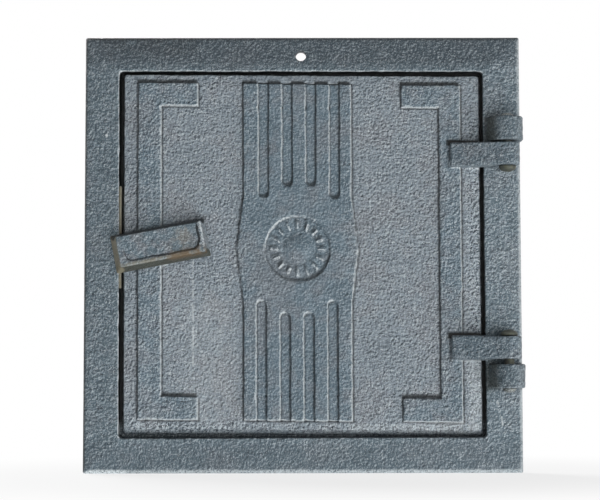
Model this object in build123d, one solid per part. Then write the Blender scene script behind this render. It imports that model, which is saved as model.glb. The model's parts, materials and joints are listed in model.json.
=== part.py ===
from build123d import *
from math import atan2, cos, hypot, radians, sin, tan, acos
import os

# A cast iron stove door: a square frame that is set into a stove's wall, a leaf
# hung on two riveted knuckle hinges, and a turning latch.
# X runs to the right, Y into the wall and Z up. The plane y = 0 is the back of
# the frame's flange, against the wall, and the opening is centred on the origin.
# All sizes are in millimetres.

# Frame
frame_size = 270.0          # outer side of the square
bar_width = 22.3            # outer edge to the inner arris of the face
casting_wall = 4.5          # general thickness of the frame casting
outer_edge = 4.9            # height of the face above the wall at its outer edge
arris_height = 9.5          # height of the face above the wall at its inner arris
nose_radius = 2.2           # rounding of the outer front edge
arris_radius = 0.7          # wear on the inner front edge
rim_land = 6.0              # flat rim on the back that bears on the wall
wall_root = 4.8             # thickness of the metal behind the inner arris
ledge_height = 2.7          # height of the seat for the leaf above the wall plane
ledge_width = 4.7           # how far the seat stands into the opening
collar_wall = 4.2           # thickness of the collar that enters the wall
collar_depth = 25.0         # how far the collar reaches behind the wall plane
outer_corner = 2.0          # rounding of the frame's outer corners
rebate_corner = 1.5         # rounding of the inner corners round the leaf

# Fixing hole in the top bar
fixing_hole_x = -1.0
fixing_hole_rise = 9.9      # bar's inner arris to the hole's centre
fixing_hole_radius = 3.3
fixing_boss_radius = 7.5

# Leaf
leaf_wall = 4.2             # thickness at the leaf's edge
leaf_field_rise = 0.8       # the middle of the face stands above the edge
leaf_border = 9.0           # width of the sloping border
seat_gap = 0.3              # leaf to ledge
front_gap_left = 2.8        # opening to the front edge of the leaf
front_gap_right = 3.3
front_gap_top = 2.3
front_gap_bottom = 3.6
edge_draft = 1.0            # how much wider the leaf is at its back
edge_draft_bottom = 2.3
leaf_corner = 1.6
pattern_fall = 0.006        # the pattern was out of square: its rows fall to the right
pattern_lean = 0.002        # and its uprights lean

# Raised ornament on the leaf
relief_rise = 1.7
relief_draft = 24.0         # degrees
ornament_inset_top = 4.9    # leaf's top edge to the ornament
ornament_inset_bottom = 5.8
bracket_bar = 15.2          # width of the brackets' bars, upright and level
left_bracket_inset = 8.3    # leaf's left edge to the bracket
left_bracket_reach = 37.3   # outer side to the ends of its arms
right_bracket_inset = 11.7
right_bracket_bar = 13.3
right_bracket_reach = 36.8
strip_middle = -3.2         # x of the fluted strip's centre line
strip_width = 66.8
strip_bulge = 4.1
bulge_half_length = 32.3
medallion_height = 2.2      # z of the medallion's centre
flute_pitch = 14.6
flute_width = 6.4
flute_depth = 1.5
flute_count = 4
outer_flute_end = 31.3      # medallion's level to the tips of the outer flutes
inner_flute_end = 38.6
dish_radius = 20.3
dish_depth = 1.2
dome_radius = 8.3
dome_rise = 1.4
dash_count = 16
dash_length = 5.0
dash_width = 1.3
dash_circle = 14.6
dash_rise = 0.8

# Hinges
axis_inset = 9.3            # frame's outer edge to the hinges' axis
knuckle_radius = 7.5        # leaf's knuckles
frame_knuckle_radius = 9.6
knuckle_face_gap = 0.5      # leaf's knuckle to the frame's face
upper_hinge_drop = 59.4     # opening's top to the lower end of the leaf's upper knuckle
lower_hinge_rise = 47.2     # opening's bottom to the lower end of the leaf's lower knuckle
leaf_knuckle_height = 13.9
frame_knuckle_height = 14.6
upper_knuckle_gap = 1.2
lower_knuckle_gap = 3.2
strap_reach = 18.5          # leaf's right edge to the strap's root
strap_root_rise = 5.0
strap_draft = 3.0           # degrees
strap_arris_gap = 1.1       # strap's underside to the frame's arris

# Hinge rivets
rivet_radius = 3.0
rivet_head_radius = 5.25
rivet_head_height = 3.8
peened_radius = 3.8
peened_height = 2.6
running_gap = 0.08          # radial play of a pin in the piece that turns on it
fixed_gap = 0.02            # radial play of a rivet in the frame
end_gap = 0.3               # play between a knuckle and a rivet's head

# Latch
pivot_inset = 21.6          # opening's left side to the latch's pivot
pivot_z = 3.4
handle_tilt = 10.8          # degrees, left end low
handle_length = 58.7
handle_width = 23.5
handle_offset = 3.9         # pivot to the middle of the handle
handle_height = 8.5
handle_gap = 1.0            # handle's back to the frame's arris
handle_draft_left = 3.4
handle_draft_right = 2.2
handle_draft_top = 1.7
handle_draft_bottom = 2.6
handle_edge = 0.8
scoop_rim = 2.4             # rim left round the scoop's right end and lower side
scoop_corner = 5.0
scoop_depth = 2.4           # at the lower right corner of the scoop
front_boss_radius = 12.8
rear_boss_radius = 7.5
boss_gap = 0.3
shank_radius = 4.9
cam_thickness = 5.0
cam_square = 6.9
cam_square_gap = 0.05
cam_hub_radius = 7.5
cam_nose_width = 9.0
cam_nose_reach = 15.0
cam_offset = 23.2           # degrees from the handle's left end down to the nose
washer_thickness = 1.6
washer_radius = 8.0
stud_radius = 3.0
stud_tail = 2.0             # stud showing past the nut
nut_across_flats = 10.0
nut_height = 5.0

# Catch on the frame
catch_reach = 7.0           # how far the lug stands in from the collar
catch_length = 37.6         # from the pivot's level up
catch_gap = 0.5             # lug to the front of the cam
keeper_rib_width = 0.9
keeper_rib_depth = 4.5
keeper_rib_below = 24.9     # from the pivot's level down
keeper_rib_above = 38.1

# Levels and places worked out from the sizes above
half_frame = frame_size / 2
half_opening = half_frame - bar_width
half_collar = half_opening - ledge_width
face_slope = (arris_height - outer_edge) / bar_width
arris_y = -arris_height
ledge_y = -ledge_height
leaf_back_y = ledge_y - seat_gap
leaf_edge_y = leaf_back_y - leaf_wall
leaf_field_y = leaf_edge_y - leaf_field_rise
relief_y = leaf_field_y - relief_rise
sink = 0.6                  # how far a raised feature starts inside its base
leaf_left, leaf_right = -half_opening + front_gap_left, half_opening - front_gap_right
leaf_low, leaf_high = -half_opening + front_gap_bottom, half_opening - front_gap_top
ornament_top = leaf_high - ornament_inset_top
ornament_bottom = leaf_low + ornament_inset_bottom
left_bracket_outer = leaf_left + left_bracket_inset
right_bracket_outer = leaf_right - right_bracket_inset
strap_root_x = leaf_right - strap_reach
axis_x = half_frame - axis_inset
pivot_x = -half_opening + pivot_inset
upper_knuckle_low = half_opening - upper_hinge_drop
lower_knuckle_low = -half_opening + lower_hinge_rise


def face_y(inset):
    """The frame's front face at a distance in from the outer edge."""
    return -(outer_edge + face_slope * inset)


axis_y = face_y(axis_inset) - (knuckle_radius + knuckle_face_gap) * hypot(1, face_slope)
handle_back_y = arris_y - handle_gap
handle_top_y = handle_back_y - handle_height
catch_back_y = ledge_y + ledge_height + casting_wall
cam_front_y = catch_back_y + catch_gap
cam_back_y = cam_front_y + cam_thickness


def front_plane(y):
    """A drawing plane that faces the viewer: drawn in x and z, raised towards -Y."""
    return Plane(origin=(0, y, 0), x_dir=(1, 0, 0), z_dir=(0, -1, 0))


def polygon(points):
    """A shape whose corners run anticlockwise, so that it rises along its plane's axis."""
    following = points[1:] + points[:1]
    area = sum(a[0] * b[1] - b[0] * a[1] for a, b in zip(points, following))
    return Polygon(*(points if area > 0 else points[::-1]), align=None)


def outline(points, y):
    """A flat face with the given x, z corners at level y."""
    return front_plane(y) * polygon(points)


def skewed(points):
    """Corners moved as on the leaf's pattern, which was a little out of square."""
    return [(x - pattern_lean * z, z - pattern_fall * x) for x, z in points]


def rectangle(left, right, low, high):
    return [(left, low), (right, low), (right, high), (left, high)]


def raised(points, base_y, rise, draft=relief_draft):
    """A raised shape with sloping sides, rooted inside its base."""
    foot = outline(points, base_y)
    root = extrude(outline(points, base_y + sink), sink)
    return root + extrude(foot, rise, taper=draft)


def rod(radius, y_front, y_back):
    """A round bar along Y."""
    return extrude(front_plane(y_back) * Circle(radius), y_back - y_front)


def upright(radius, x, y, low, height):
    """A round bar along Z."""
    return extrude(Plane(origin=(x, y, low)) * Circle(radius), height)


def tangent_point(point, centre, radius):
    """Where a line from a point on the left touches the circle, on its front side."""
    dx, dy = point[0] - centre[0], point[1] - centre[1]
    angle = atan2(dy, dx) + acos(radius / hypot(dx, dy))
    return (centre[0] + radius * cos(angle), centre[1] + radius * sin(angle))


def frame_bar():
    """The bottom bar, its ends cut to mitres. Its section is drawn in y and z."""
    back_rise = casting_wall * hypot(1, face_slope)
    hollow_end = bar_width - wall_root
    section = [
        (0.0, 0.0),
        (-outer_edge, 0.0),
        (arris_y, bar_width),
        (ledge_y, bar_width),
        (ledge_y, bar_width + ledge_width),
        (collar_depth, bar_width + ledge_width),
        (collar_depth, bar_width + ledge_width - collar_wall),
        (0.0, bar_width + ledge_width - collar_wall),
        (0.0, hollow_end),
        (face_y(hollow_end) + back_rise, hollow_end),
        (face_y(rim_land) + back_rise, rim_land),
        (0.0, rim_land),
    ]
    plane = Plane(origin=(-half_frame, 0, -half_frame), x_dir=(0, 1, 0), z_dir=(1, 0, 0))
    face = polygon(section)
    nose = face.vertices().sort_by_distance((-outer_edge, 0, 0))[0]
    face = fillet(nose, nose_radius)
    arris = face.vertices().sort_by_distance((arris_y, bar_width, 0))[0]
    face = fillet(arris, arris_radius)
    bar = extrude(plane * face, frame_size)
    mitre = [(-half_frame, -half_frame), (half_frame, -half_frame), (0.0, 0.0)]
    depth = collar_depth + arris_height + 2 * sink
    return bar & extrude(outline(mitre, collar_depth + sink), depth)


def frame_knuckle(low):
    """A knuckle cast on the right bar, ramped up from the arris to the barrel."""
    centre = (axis_x, axis_y)
    foot = (half_opening + arris_radius, arris_y + sink)
    touch = tangent_point(foot, centre, frame_knuckle_radius)
    side = axis_x + frame_knuckle_radius
    root_y = face_y(0) + casting_wall / 2
    inner_root = (half_opening + arris_radius, arris_y + casting_wall / 2)
    profile = polygon([foot, touch, centre, (side, axis_y), (side, root_y), inner_root])
    block = extrude(Pos(0, 0, low) * profile, frame_knuckle_height)
    return block + upright(frame_knuckle_radius, axis_x, axis_y, low, frame_knuckle_height)


def knuckle_levels():
    """The lower ends of the frame's two knuckles, upper one first."""
    upper = upper_knuckle_low + leaf_knuckle_height + upper_knuckle_gap
    lower = lower_knuckle_low - lower_knuckle_gap - frame_knuckle_height
    return upper, lower


def corner_web():
    """The rounded metal in one inner corner, between the seat and the worn arris."""
    reach = half_opening - rebate_corner / 2
    web = Pos(reach, reach) * Rectangle(rebate_corner, rebate_corner)
    web -= Pos(half_opening - rebate_corner, half_opening - rebate_corner) * Circle(rebate_corner)
    return extrude(front_plane(ledge_y) * web, arris_height - ledge_height - arris_radius)


def make_frame():
    bar = frame_bar()
    body = bar
    for turn in (90, 180, 270):
        body += Rot(Y=turn) * bar
    rounded = extrude(front_plane(collar_depth + sink) * RectangleRounded(
        frame_size, frame_size, outer_corner), collar_depth + arris_height + 2 * sink)
    body &= rounded
    for turn in (0, 90, 180, 270):
        body += Rot(Y=turn) * corner_web()

    hole_z = half_opening + fixing_hole_rise
    boss = Pos(fixing_hole_x, 0, hole_z) * rod(fixing_boss_radius, face_y(0), 0)
    body += boss
    body -= Pos(fixing_hole_x, 0, hole_z) * rod(fixing_hole_radius, 2 * arris_y, collar_depth)

    for low in knuckle_levels():
        body += frame_knuckle(low)
        bore = upright(rivet_radius + fixed_gap, axis_x, axis_y, low - sink,
                       frame_knuckle_height + 2 * sink)
        body -= bore

    lug = rectangle(-half_collar - sink, -half_collar + catch_reach,
                    pivot_z, pivot_z + catch_length)
    body += extrude(outline(lug, catch_back_y), catch_back_y - ledge_y)
    rib = rectangle(-half_opening - sink, -half_opening + keeper_rib_width,
                    pivot_z - keeper_rib_below, pivot_z + keeper_rib_above)
    body += extrude(outline(rib, ledge_y + sink), keeper_rib_depth + sink)
    return body


def leaf_plate():
    """The flat of the leaf: drafted edges, a sloping border and a level field."""
    back = rectangle(leaf_left - edge_draft, leaf_right + edge_draft,
                     leaf_low - edge_draft_bottom, leaf_high + edge_draft)
    edge = rectangle(leaf_left, leaf_right, leaf_low, leaf_high)
    field = rectangle(leaf_left + leaf_border, leaf_right - leaf_border,
                      leaf_low + leaf_border, leaf_high - leaf_border)
    plate = loft([outline(skewed(back), leaf_back_y), outline(skewed(edge), leaf_edge_y)])
    corners = plate.edges().filter_by(
        lambda e: abs(e.tangent_at(0.5).Y) > cos(radians(60)))
    plate = fillet(corners, leaf_corner)
    crown = loft([outline(skewed(edge), leaf_edge_y), outline(skewed(field), leaf_field_y)])
    trim = extrude(outline(skewed(back), leaf_edge_y), leaf_field_rise)
    return plate + (crown & trim)


def bracket(outer, bar, reach, side):
    """A square bracket that opens towards the strip; side is 1 for the left one."""
    inner, tip = outer + side * bar, outer + side * reach
    low_arm, high_arm = ornament_bottom + bracket_bar, ornament_top - bracket_bar
    return [(outer, ornament_bottom), (tip, ornament_bottom), (tip, low_arm),
            (inner, low_arm), (inner, high_arm), (tip, high_arm),
            (tip, ornament_top), (outer, ornament_top)]


def strip_outline():
    """The fluted strip's outline, wider at the medallion."""
    half = strip_width / 2
    right = [(half, ornament_bottom), (half, medallion_height - bulge_half_length),
             (half + strip_bulge, medallion_height),
             (half, medallion_height + bulge_half_length), (half, ornament_top)]
    left = [(-x, z) for x, z in reversed(right)]
    return [(x + strip_middle, z) for x, z in right + left]


def flute(x, tip, end):
    """A groove from its rounded tip out through the strip's end."""
    half = flute_width / 2
    centre = tip + half if end > tip else tip - half
    low, high = sorted((centre, end))
    shape = Pos(x, (low + high) / 2) * Rectangle(flute_width, high - low)
    shape += Pos(x, centre) * Circle(half)
    return extrude(front_plane(relief_y) * shape, -flute_depth) + extrude(
        front_plane(relief_y) * shape, sink)


def make_leaf():
    body = leaf_plate()
    left = bracket(left_bracket_outer, bracket_bar, left_bracket_reach, 1)
    right = bracket(right_bracket_outer, right_bracket_bar, right_bracket_reach, -1)
    for shape in (left, right, strip_outline()):
        body += raised(skewed(shape), leaf_field_y, relief_rise)

    overrun = 4 * sink
    for index in range(flute_count):
        place = index - (flute_count - 1) / 2
        x = strip_middle + place * flute_pitch
        outermost = index in (0, flute_count - 1)
        tip = outer_flute_end if outermost else inner_flute_end
        body -= flute(x, medallion_height + tip, ornament_top + overrun)
        body -= flute(x, medallion_height - tip, ornament_bottom - overrun)

    centre = Pos(strip_middle, 0, medallion_height)
    dish_y = relief_y + dish_depth
    body -= centre * rod(dish_radius, relief_y - sink, dish_y)
    sphere_radius = (dome_radius ** 2 + dome_rise ** 2) / (2 * dome_rise)
    dome = Sphere(sphere_radius) & Pos(0, -sphere_radius, 0) * Box(
        3 * dome_radius, 2 * (dome_rise + sink), 3 * dome_radius)
    body += centre * Pos(0, dish_y + sphere_radius - dome_rise, 0) * dome
    for index in range(dash_count):
        turn = 360 * index / dash_count
        dash = Pos(dash_circle, 0, 0) * Box(dash_length, dash_rise + sink, dash_width)
        body += centre * Pos(0, dish_y - dash_rise / 2 + sink / 2, 0) * Rot(Y=turn) * dash

    for low in (upper_knuckle_low, lower_knuckle_low):
        body += strap(low)
        body -= upright(rivet_radius + running_gap, axis_x, axis_y, low - 2 * sink,
                        leaf_knuckle_height + 4 * sink)

    pivot = Pos(pivot_x, 0, pivot_z)
    rear_boss_y = cam_front_y - washer_thickness - boss_gap
    body += pivot * rod(front_boss_radius, handle_back_y + boss_gap, leaf_field_y + sink)
    body += pivot * rod(rear_boss_radius, leaf_back_y - sink, rear_boss_y)
    body -= pivot * rod(shank_radius + running_gap, handle_back_y - sink, rear_boss_y + sink)
    return body


def strap(low):
    """A strap from the leaf's face to its knuckle, wider at its root than in front."""
    centre = (axis_x, axis_y)
    root = (strap_root_x, leaf_field_y - strap_root_rise)
    touch = tangent_point(root, centre, knuckle_radius)
    under_y = arris_y - strap_arris_gap
    under_x = axis_x - (knuckle_radius ** 2 - (under_y - axis_y) ** 2) ** 0.5
    profile = polygon([(strap_root_x, leaf_field_y + sink), root, touch, centre,
                       (under_x, under_y), (leaf_right + edge_draft, under_y),
                       (leaf_right - leaf_wall, leaf_edge_y + sink)])
    middle = low + leaf_knuckle_height / 2
    flare = tan(radians(strap_draft))
    front = axis_y - knuckle_radius
    back_half = leaf_knuckle_height / 2 + flare * (leaf_edge_y + sink - front)
    wedge_section = polygon([
        (front, -leaf_knuckle_height / 2), (front, leaf_knuckle_height / 2),
        (leaf_edge_y + sink, back_half), (leaf_edge_y + sink, -back_half)])
    wedge_plane = Plane(origin=(strap_root_x, 0, middle), x_dir=(0, 1, 0), z_dir=(1, 0, 0))
    wedge_end = axis_x - rivet_head_radius - end_gap
    wedge = extrude(wedge_plane * wedge_section, wedge_end - strap_root_x)
    flared = extrude(Pos(0, 0, middle) * profile, back_half, both=True) & wedge
    arm = extrude(Pos(0, 0, low) * profile, leaf_knuckle_height)
    return flared + arm + upright(knuckle_radius, axis_x, axis_y, low, leaf_knuckle_height)


def make_rivet(head_seat, peened_seat):
    """A rivet with a domed head at one seat and a peened end at the other."""
    outward = 1 if head_seat > peened_seat else -1
    low, high = sorted((head_seat, peened_seat))
    body = upright(rivet_radius, axis_x, axis_y, low, high - low)
    body += domed_end(rivet_head_radius, rivet_head_height, head_seat, outward)
    body += domed_end(peened_radius, peened_height, peened_seat, -outward)
    return body


def domed_end(radius, height, seat, outward):
    """A dome on a flat seat, its rim a short straight edge."""
    rim = height / 4
    rise = height - rim
    sphere_radius = (radius ** 2 + rise ** 2) / (2 * rise)
    blank = upright(radius, 0, 0, 0, height)
    dome = blank & (Pos(0, 0, height - sphere_radius) * Sphere(sphere_radius))
    return Pos(axis_x, axis_y, seat) * Rot(X=0 if outward > 0 else 180) * dome


def latch_place():
    """The latch's own frame: its handle lies along x before it is tilted."""
    return Pos(pivot_x, 0, pivot_z) * Rot(Y=-handle_tilt)


def make_handle():
    left = handle_offset - handle_length / 2
    right = handle_offset + handle_length / 2
    half = handle_width / 2
    base = rectangle(left, right, -half, half)
    top = rectangle(left + handle_draft_left, right - handle_draft_right,
                    -half + handle_draft_bottom, half - handle_draft_top)
    body = loft([outline(base, handle_back_y), outline(top, handle_top_y)])
    edges = body.edges().filter_by(lambda e: e.center().Y < handle_back_y - sink)
    body = fillet(edges, handle_edge)

    rim_right, rim_low = top[1][0] - scoop_rim, top[1][1] + scoop_rim
    scoop_left, scoop_high = top[3][0] + handle_edge, top[3][1] - handle_edge
    width, height = rim_right - scoop_left, scoop_high - rim_low
    shape = Pos((rim_right + scoop_left) / 2, (scoop_high + rim_low) / 2) * RectangleRounded(
        width, height, scoop_corner)
    column = extrude(front_plane(handle_top_y + scoop_depth) * shape, scoop_depth + 1)
    fall_x, fall_z = scoop_depth / width, scoop_depth / height
    floor_plane = Plane(origin=(scoop_left, handle_top_y, (scoop_high + rim_low) / 2),
                        x_dir=(1, fall_x / 2, 0), z_dir=(fall_x / 2, -1, -fall_z / 2))
    over_floor = extrude(floor_plane * Rectangle(4 * width, 4 * height), 2 * handle_height)
    body -= column & over_floor

    body += rod(shank_radius, handle_back_y - sink, cam_front_y)
    square = front_plane(cam_back_y) * Rectangle(cam_square, cam_square)
    body += extrude(square, cam_thickness + sink)
    body += rod(stud_radius, cam_back_y - sink, cam_back_y + nut_height + stud_tail)
    return latch_place() * body


def make_washer():
    ring = Circle(washer_radius) - Circle(shank_radius + running_gap)
    return latch_place() * extrude(front_plane(cam_front_y) * ring, washer_thickness)


def make_cam():
    """The cam's hub and round-tipped nose, with a square hole for the shank."""
    nose_radius_tip = cam_nose_width / 2
    tip = cam_nose_reach - nose_radius_tip
    shape = Circle(cam_hub_radius)
    shape += Pos(-tip / 2, 0) * Rectangle(tip, cam_nose_width)
    shape += Pos(-tip, 0) * Circle(nose_radius_tip)
    side = cam_square + 2 * cam_square_gap
    blank = extrude(front_plane(cam_back_y) * shape, cam_thickness)
    hole = extrude(front_plane(cam_back_y + sink) * Rectangle(side, side),
                   cam_thickness + 2 * sink)
    return latch_place() * (Rot(Y=-cam_offset) * blank - hole)


def make_nut():
    across = RegularPolygon(nut_across_flats / 2, 6, major_radius=False)
    ring = across - Circle(stud_radius + fixed_gap)
    return latch_place() * extrude(front_plane(cam_back_y + nut_height) * ring, nut_height)


def main():
    upper_frame_low, lower_frame_low = knuckle_levels()
    lower_head_seat = lower_knuckle_low + leaf_knuckle_height + end_gap
    pieces = {
        "frame": make_frame(),
        "door_leaf": make_leaf(),
        "upper_hinge_rivet": make_rivet(upper_knuckle_low - end_gap,
                                        upper_frame_low + frame_knuckle_height),
        "lower_hinge_rivet": make_rivet(lower_head_seat, lower_frame_low),
        "latch_handle": make_handle(),
        "latch_washer": make_washer(),
        "latch_cam": make_cam(),
        "latch_nut": make_nut(),
    }
    os.makedirs("parts", exist_ok=True)
    for name, piece in pieces.items():
        export_step(piece, f"parts/{name}.step")


main()
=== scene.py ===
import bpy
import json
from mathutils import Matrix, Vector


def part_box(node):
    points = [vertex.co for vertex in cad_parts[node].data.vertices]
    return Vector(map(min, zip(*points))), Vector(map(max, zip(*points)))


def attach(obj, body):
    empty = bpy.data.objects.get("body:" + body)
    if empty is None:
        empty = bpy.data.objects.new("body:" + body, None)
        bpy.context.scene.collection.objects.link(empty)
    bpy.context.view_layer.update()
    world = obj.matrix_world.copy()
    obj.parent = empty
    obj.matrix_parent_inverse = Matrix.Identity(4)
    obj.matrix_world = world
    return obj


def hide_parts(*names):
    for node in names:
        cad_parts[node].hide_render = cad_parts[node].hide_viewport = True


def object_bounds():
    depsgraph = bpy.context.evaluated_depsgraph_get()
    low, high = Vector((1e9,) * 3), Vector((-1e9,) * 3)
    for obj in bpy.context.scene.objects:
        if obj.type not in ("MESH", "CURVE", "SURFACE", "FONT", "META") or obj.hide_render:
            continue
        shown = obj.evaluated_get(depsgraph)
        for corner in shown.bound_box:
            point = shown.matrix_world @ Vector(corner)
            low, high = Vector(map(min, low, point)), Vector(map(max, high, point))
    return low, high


bl_info = {
    "name": "Cast iron stove door",
    "version": (1, 0, 0),
    "blender": (4, 5, 0),
    "location": "3D View > Sidebar > Stove door",
    "description": "Finished castings, rivets and latch of a stove door, built round its packed model",
    "category": "Object",
}

import json
from itertools import product
from math import acos, asin, atan2, cos, hypot, pi, radians, sin, tan

import bmesh
import bpy
import numpy as np
from bpy.props import FloatProperty, FloatVectorProperty, IntProperty, PointerProperty
from mathutils import Matrix, Vector

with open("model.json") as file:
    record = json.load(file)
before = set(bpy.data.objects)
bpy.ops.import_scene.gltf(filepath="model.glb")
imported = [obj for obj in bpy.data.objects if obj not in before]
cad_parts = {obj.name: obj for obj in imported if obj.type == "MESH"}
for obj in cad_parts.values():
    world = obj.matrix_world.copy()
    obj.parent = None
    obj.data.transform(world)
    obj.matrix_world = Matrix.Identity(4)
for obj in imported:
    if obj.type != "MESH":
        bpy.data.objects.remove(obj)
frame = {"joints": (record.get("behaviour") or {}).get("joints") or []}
cad_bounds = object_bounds()

MM = 0.001
FRAME_LOW, FRAME_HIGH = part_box("frame")
HALF_FRAME = FRAME_HIGH.z
COLLAR_BACK = FRAME_HIGH.y
JOINT_PLACES = {joint["name"]: Vector(joint["pos_m"]) for joint in frame["joints"]}
HINGE = JOINT_PLACES["door_swing"]
PIVOT = JOINT_PLACES["latch_turn"]
# The way from which the painted light falls, right and down: walls that face it are painted lit, and
# walls that face away are painted in shade.
LIGHT_SIDE = (0.64, 0.0, -0.77)
# What each vertex carries where its shell says nothing.
# Among them: how strongly painted light and shade show, and how much painted shade and darkening lies
# there.
USUAL = {"raised": 1.0, "dusty": 0.0, "crisp": 0.3, "sooty": 0.0}
# The knuckles are evenly a little darker, and painted light and shade show weakly on them.
KNUCKLE_FINISH = {"sooty": 0.16, "crisp": 0.15}
# How deep a part of a casting is sunk into the rest of it.
SUNK = 0.6 * MM
SHANK_PLAY = 0.08 * MM
# The flutes' places from the strip's middle, counted in flutes.
FLUTE_PLACES = (-1.5, -0.5, 0.5, 1.5)
# Height and size of each layer of the cast skin, in millimetres: waves, swells and grains.
SKIN_LAYERS = ((0.16, 17.0), (0.12, 4.3), (0.20, 2.3))


def length(name, millimetres, description):
    """A size that a user can change, given in millimetres and held in metres."""
    return FloatProperty(name=name, description=description, default=millimetres * MM,
                         unit="LENGTH", precision=5)


def turn(name, degrees, description):
    """An angle that a user can change, given in degrees."""
    return FloatProperty(name=name, description=description, default=radians(degrees),
                         subtype="ANGLE")


def share(name, value, description):
    """A plain factor that a user can change."""
    return FloatProperty(name=name, description=description, default=value, subtype="FACTOR")


def linear(hex_colour):
    """The linear values of a colour written as six hexadecimal digits."""
    parts = np.array([int(hex_colour[i:i + 2], 16) for i in (0, 2, 4)]) / 255
    return tuple(np.where(parts < 0.04045, parts / 12.92, ((parts + 0.055) / 1.055) ** 2.4))


def colour(name, hex_colour, description):
    """A colour that a user can change."""
    return FloatVectorProperty(name=name, description=description, subtype="COLOR", size=3,
                               default=linear(hex_colour), min=0, max=1)


class FrameSizes(bpy.types.PropertyGroup):
    """The section and fittings of the frame casting."""
    bar_width: length("Bar width", 22.3, "Outer edge to the inner arris of the face")
    outer_edge: length("Outer edge", 4.9, "Height of the face above the wall at its outer edge")
    arris_height: length("Arris height", 9.5, "Height of the inner arris above the wall")
    nose_radius: length("Nose radius", 3.6, "Rounding of the outer front edge")
    arris_radius: length("Arris radius", 0.8, "Wear on the inner arris")
    casting_wall: length("Casting wall", 4.5, "Thickness of the sloping face")
    wall_root: length("Wall root", 4.8, "Metal behind the inner arris")
    rim_land: length("Rim land", 6.0, "Flat rim that bears on the wall")
    ledge_height: length("Ledge height", 2.7, "Height of the leaf's seat above the wall")
    ledge_width: length("Ledge width", 4.7, "How far the seat stands into the opening")
    collar_wall: length("Collar wall", 4.2, "Thickness of the collar")
    outer_corner: length("Outer corner", 1.2, "Rounding of the outer corners")
    rebate_corner: length("Rebate corner", 2.4, "Rounding of the corners round the leaf")
    ragged: length("Ragged arris", 0.25, "How far the inner arris wanders")
    slip_left: length("Left slip", 0.35, "Opening's left side out from its place")
    slip_right: length("Right slip", 1.05, "Opening's right side in from its place")
    slip_top: length("Top slip", -0.15, "Opening's top side up from its place")
    slip_bottom: length("Bottom slip", 0.45, "Opening's bottom side down from its place")
    warp_left: length("Left warp", 0.3, "Left side's lean to the left at its top")
    warp_right: length("Right warp", 0.35, "Right side's lean to the left at its top")
    warp_level: length("Level warp", 0.2, "Fall of the top side and rise of the bottom side")
    hole_x: length("Hole place", -1.0, "Fixing hole's distance right of the middle")
    hole_rise: length("Hole rise", 9.9, "Inner arris to the fixing hole's centre")
    hole_radius: length("Hole radius", 3.3, "Radius of the fixing hole")
    boss_radius: length("Boss radius", 7.5, "Radius of the boss behind the fixing hole")
    lug_reach: length("Lug reach", 7.0, "How far the catch lug stands in from the collar")
    lug_length: length("Lug length", 37.6, "Height of the catch lug above the pivot's level")
    rib_width: length("Rib width", 0.9, "Keeper rib's thickness in the left gap")
    rib_depth: length("Rib depth", 4.5, "Keeper rib's height above the seat")
    rib_below: length("Rib below", 24.9, "Keeper rib's end below the pivot's level")
    rib_above: length("Rib above", 38.1, "Keeper rib's end above the pivot's level")
    grid: length("Grid", 1.32, "Distance between the frame's grid lines")


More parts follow.
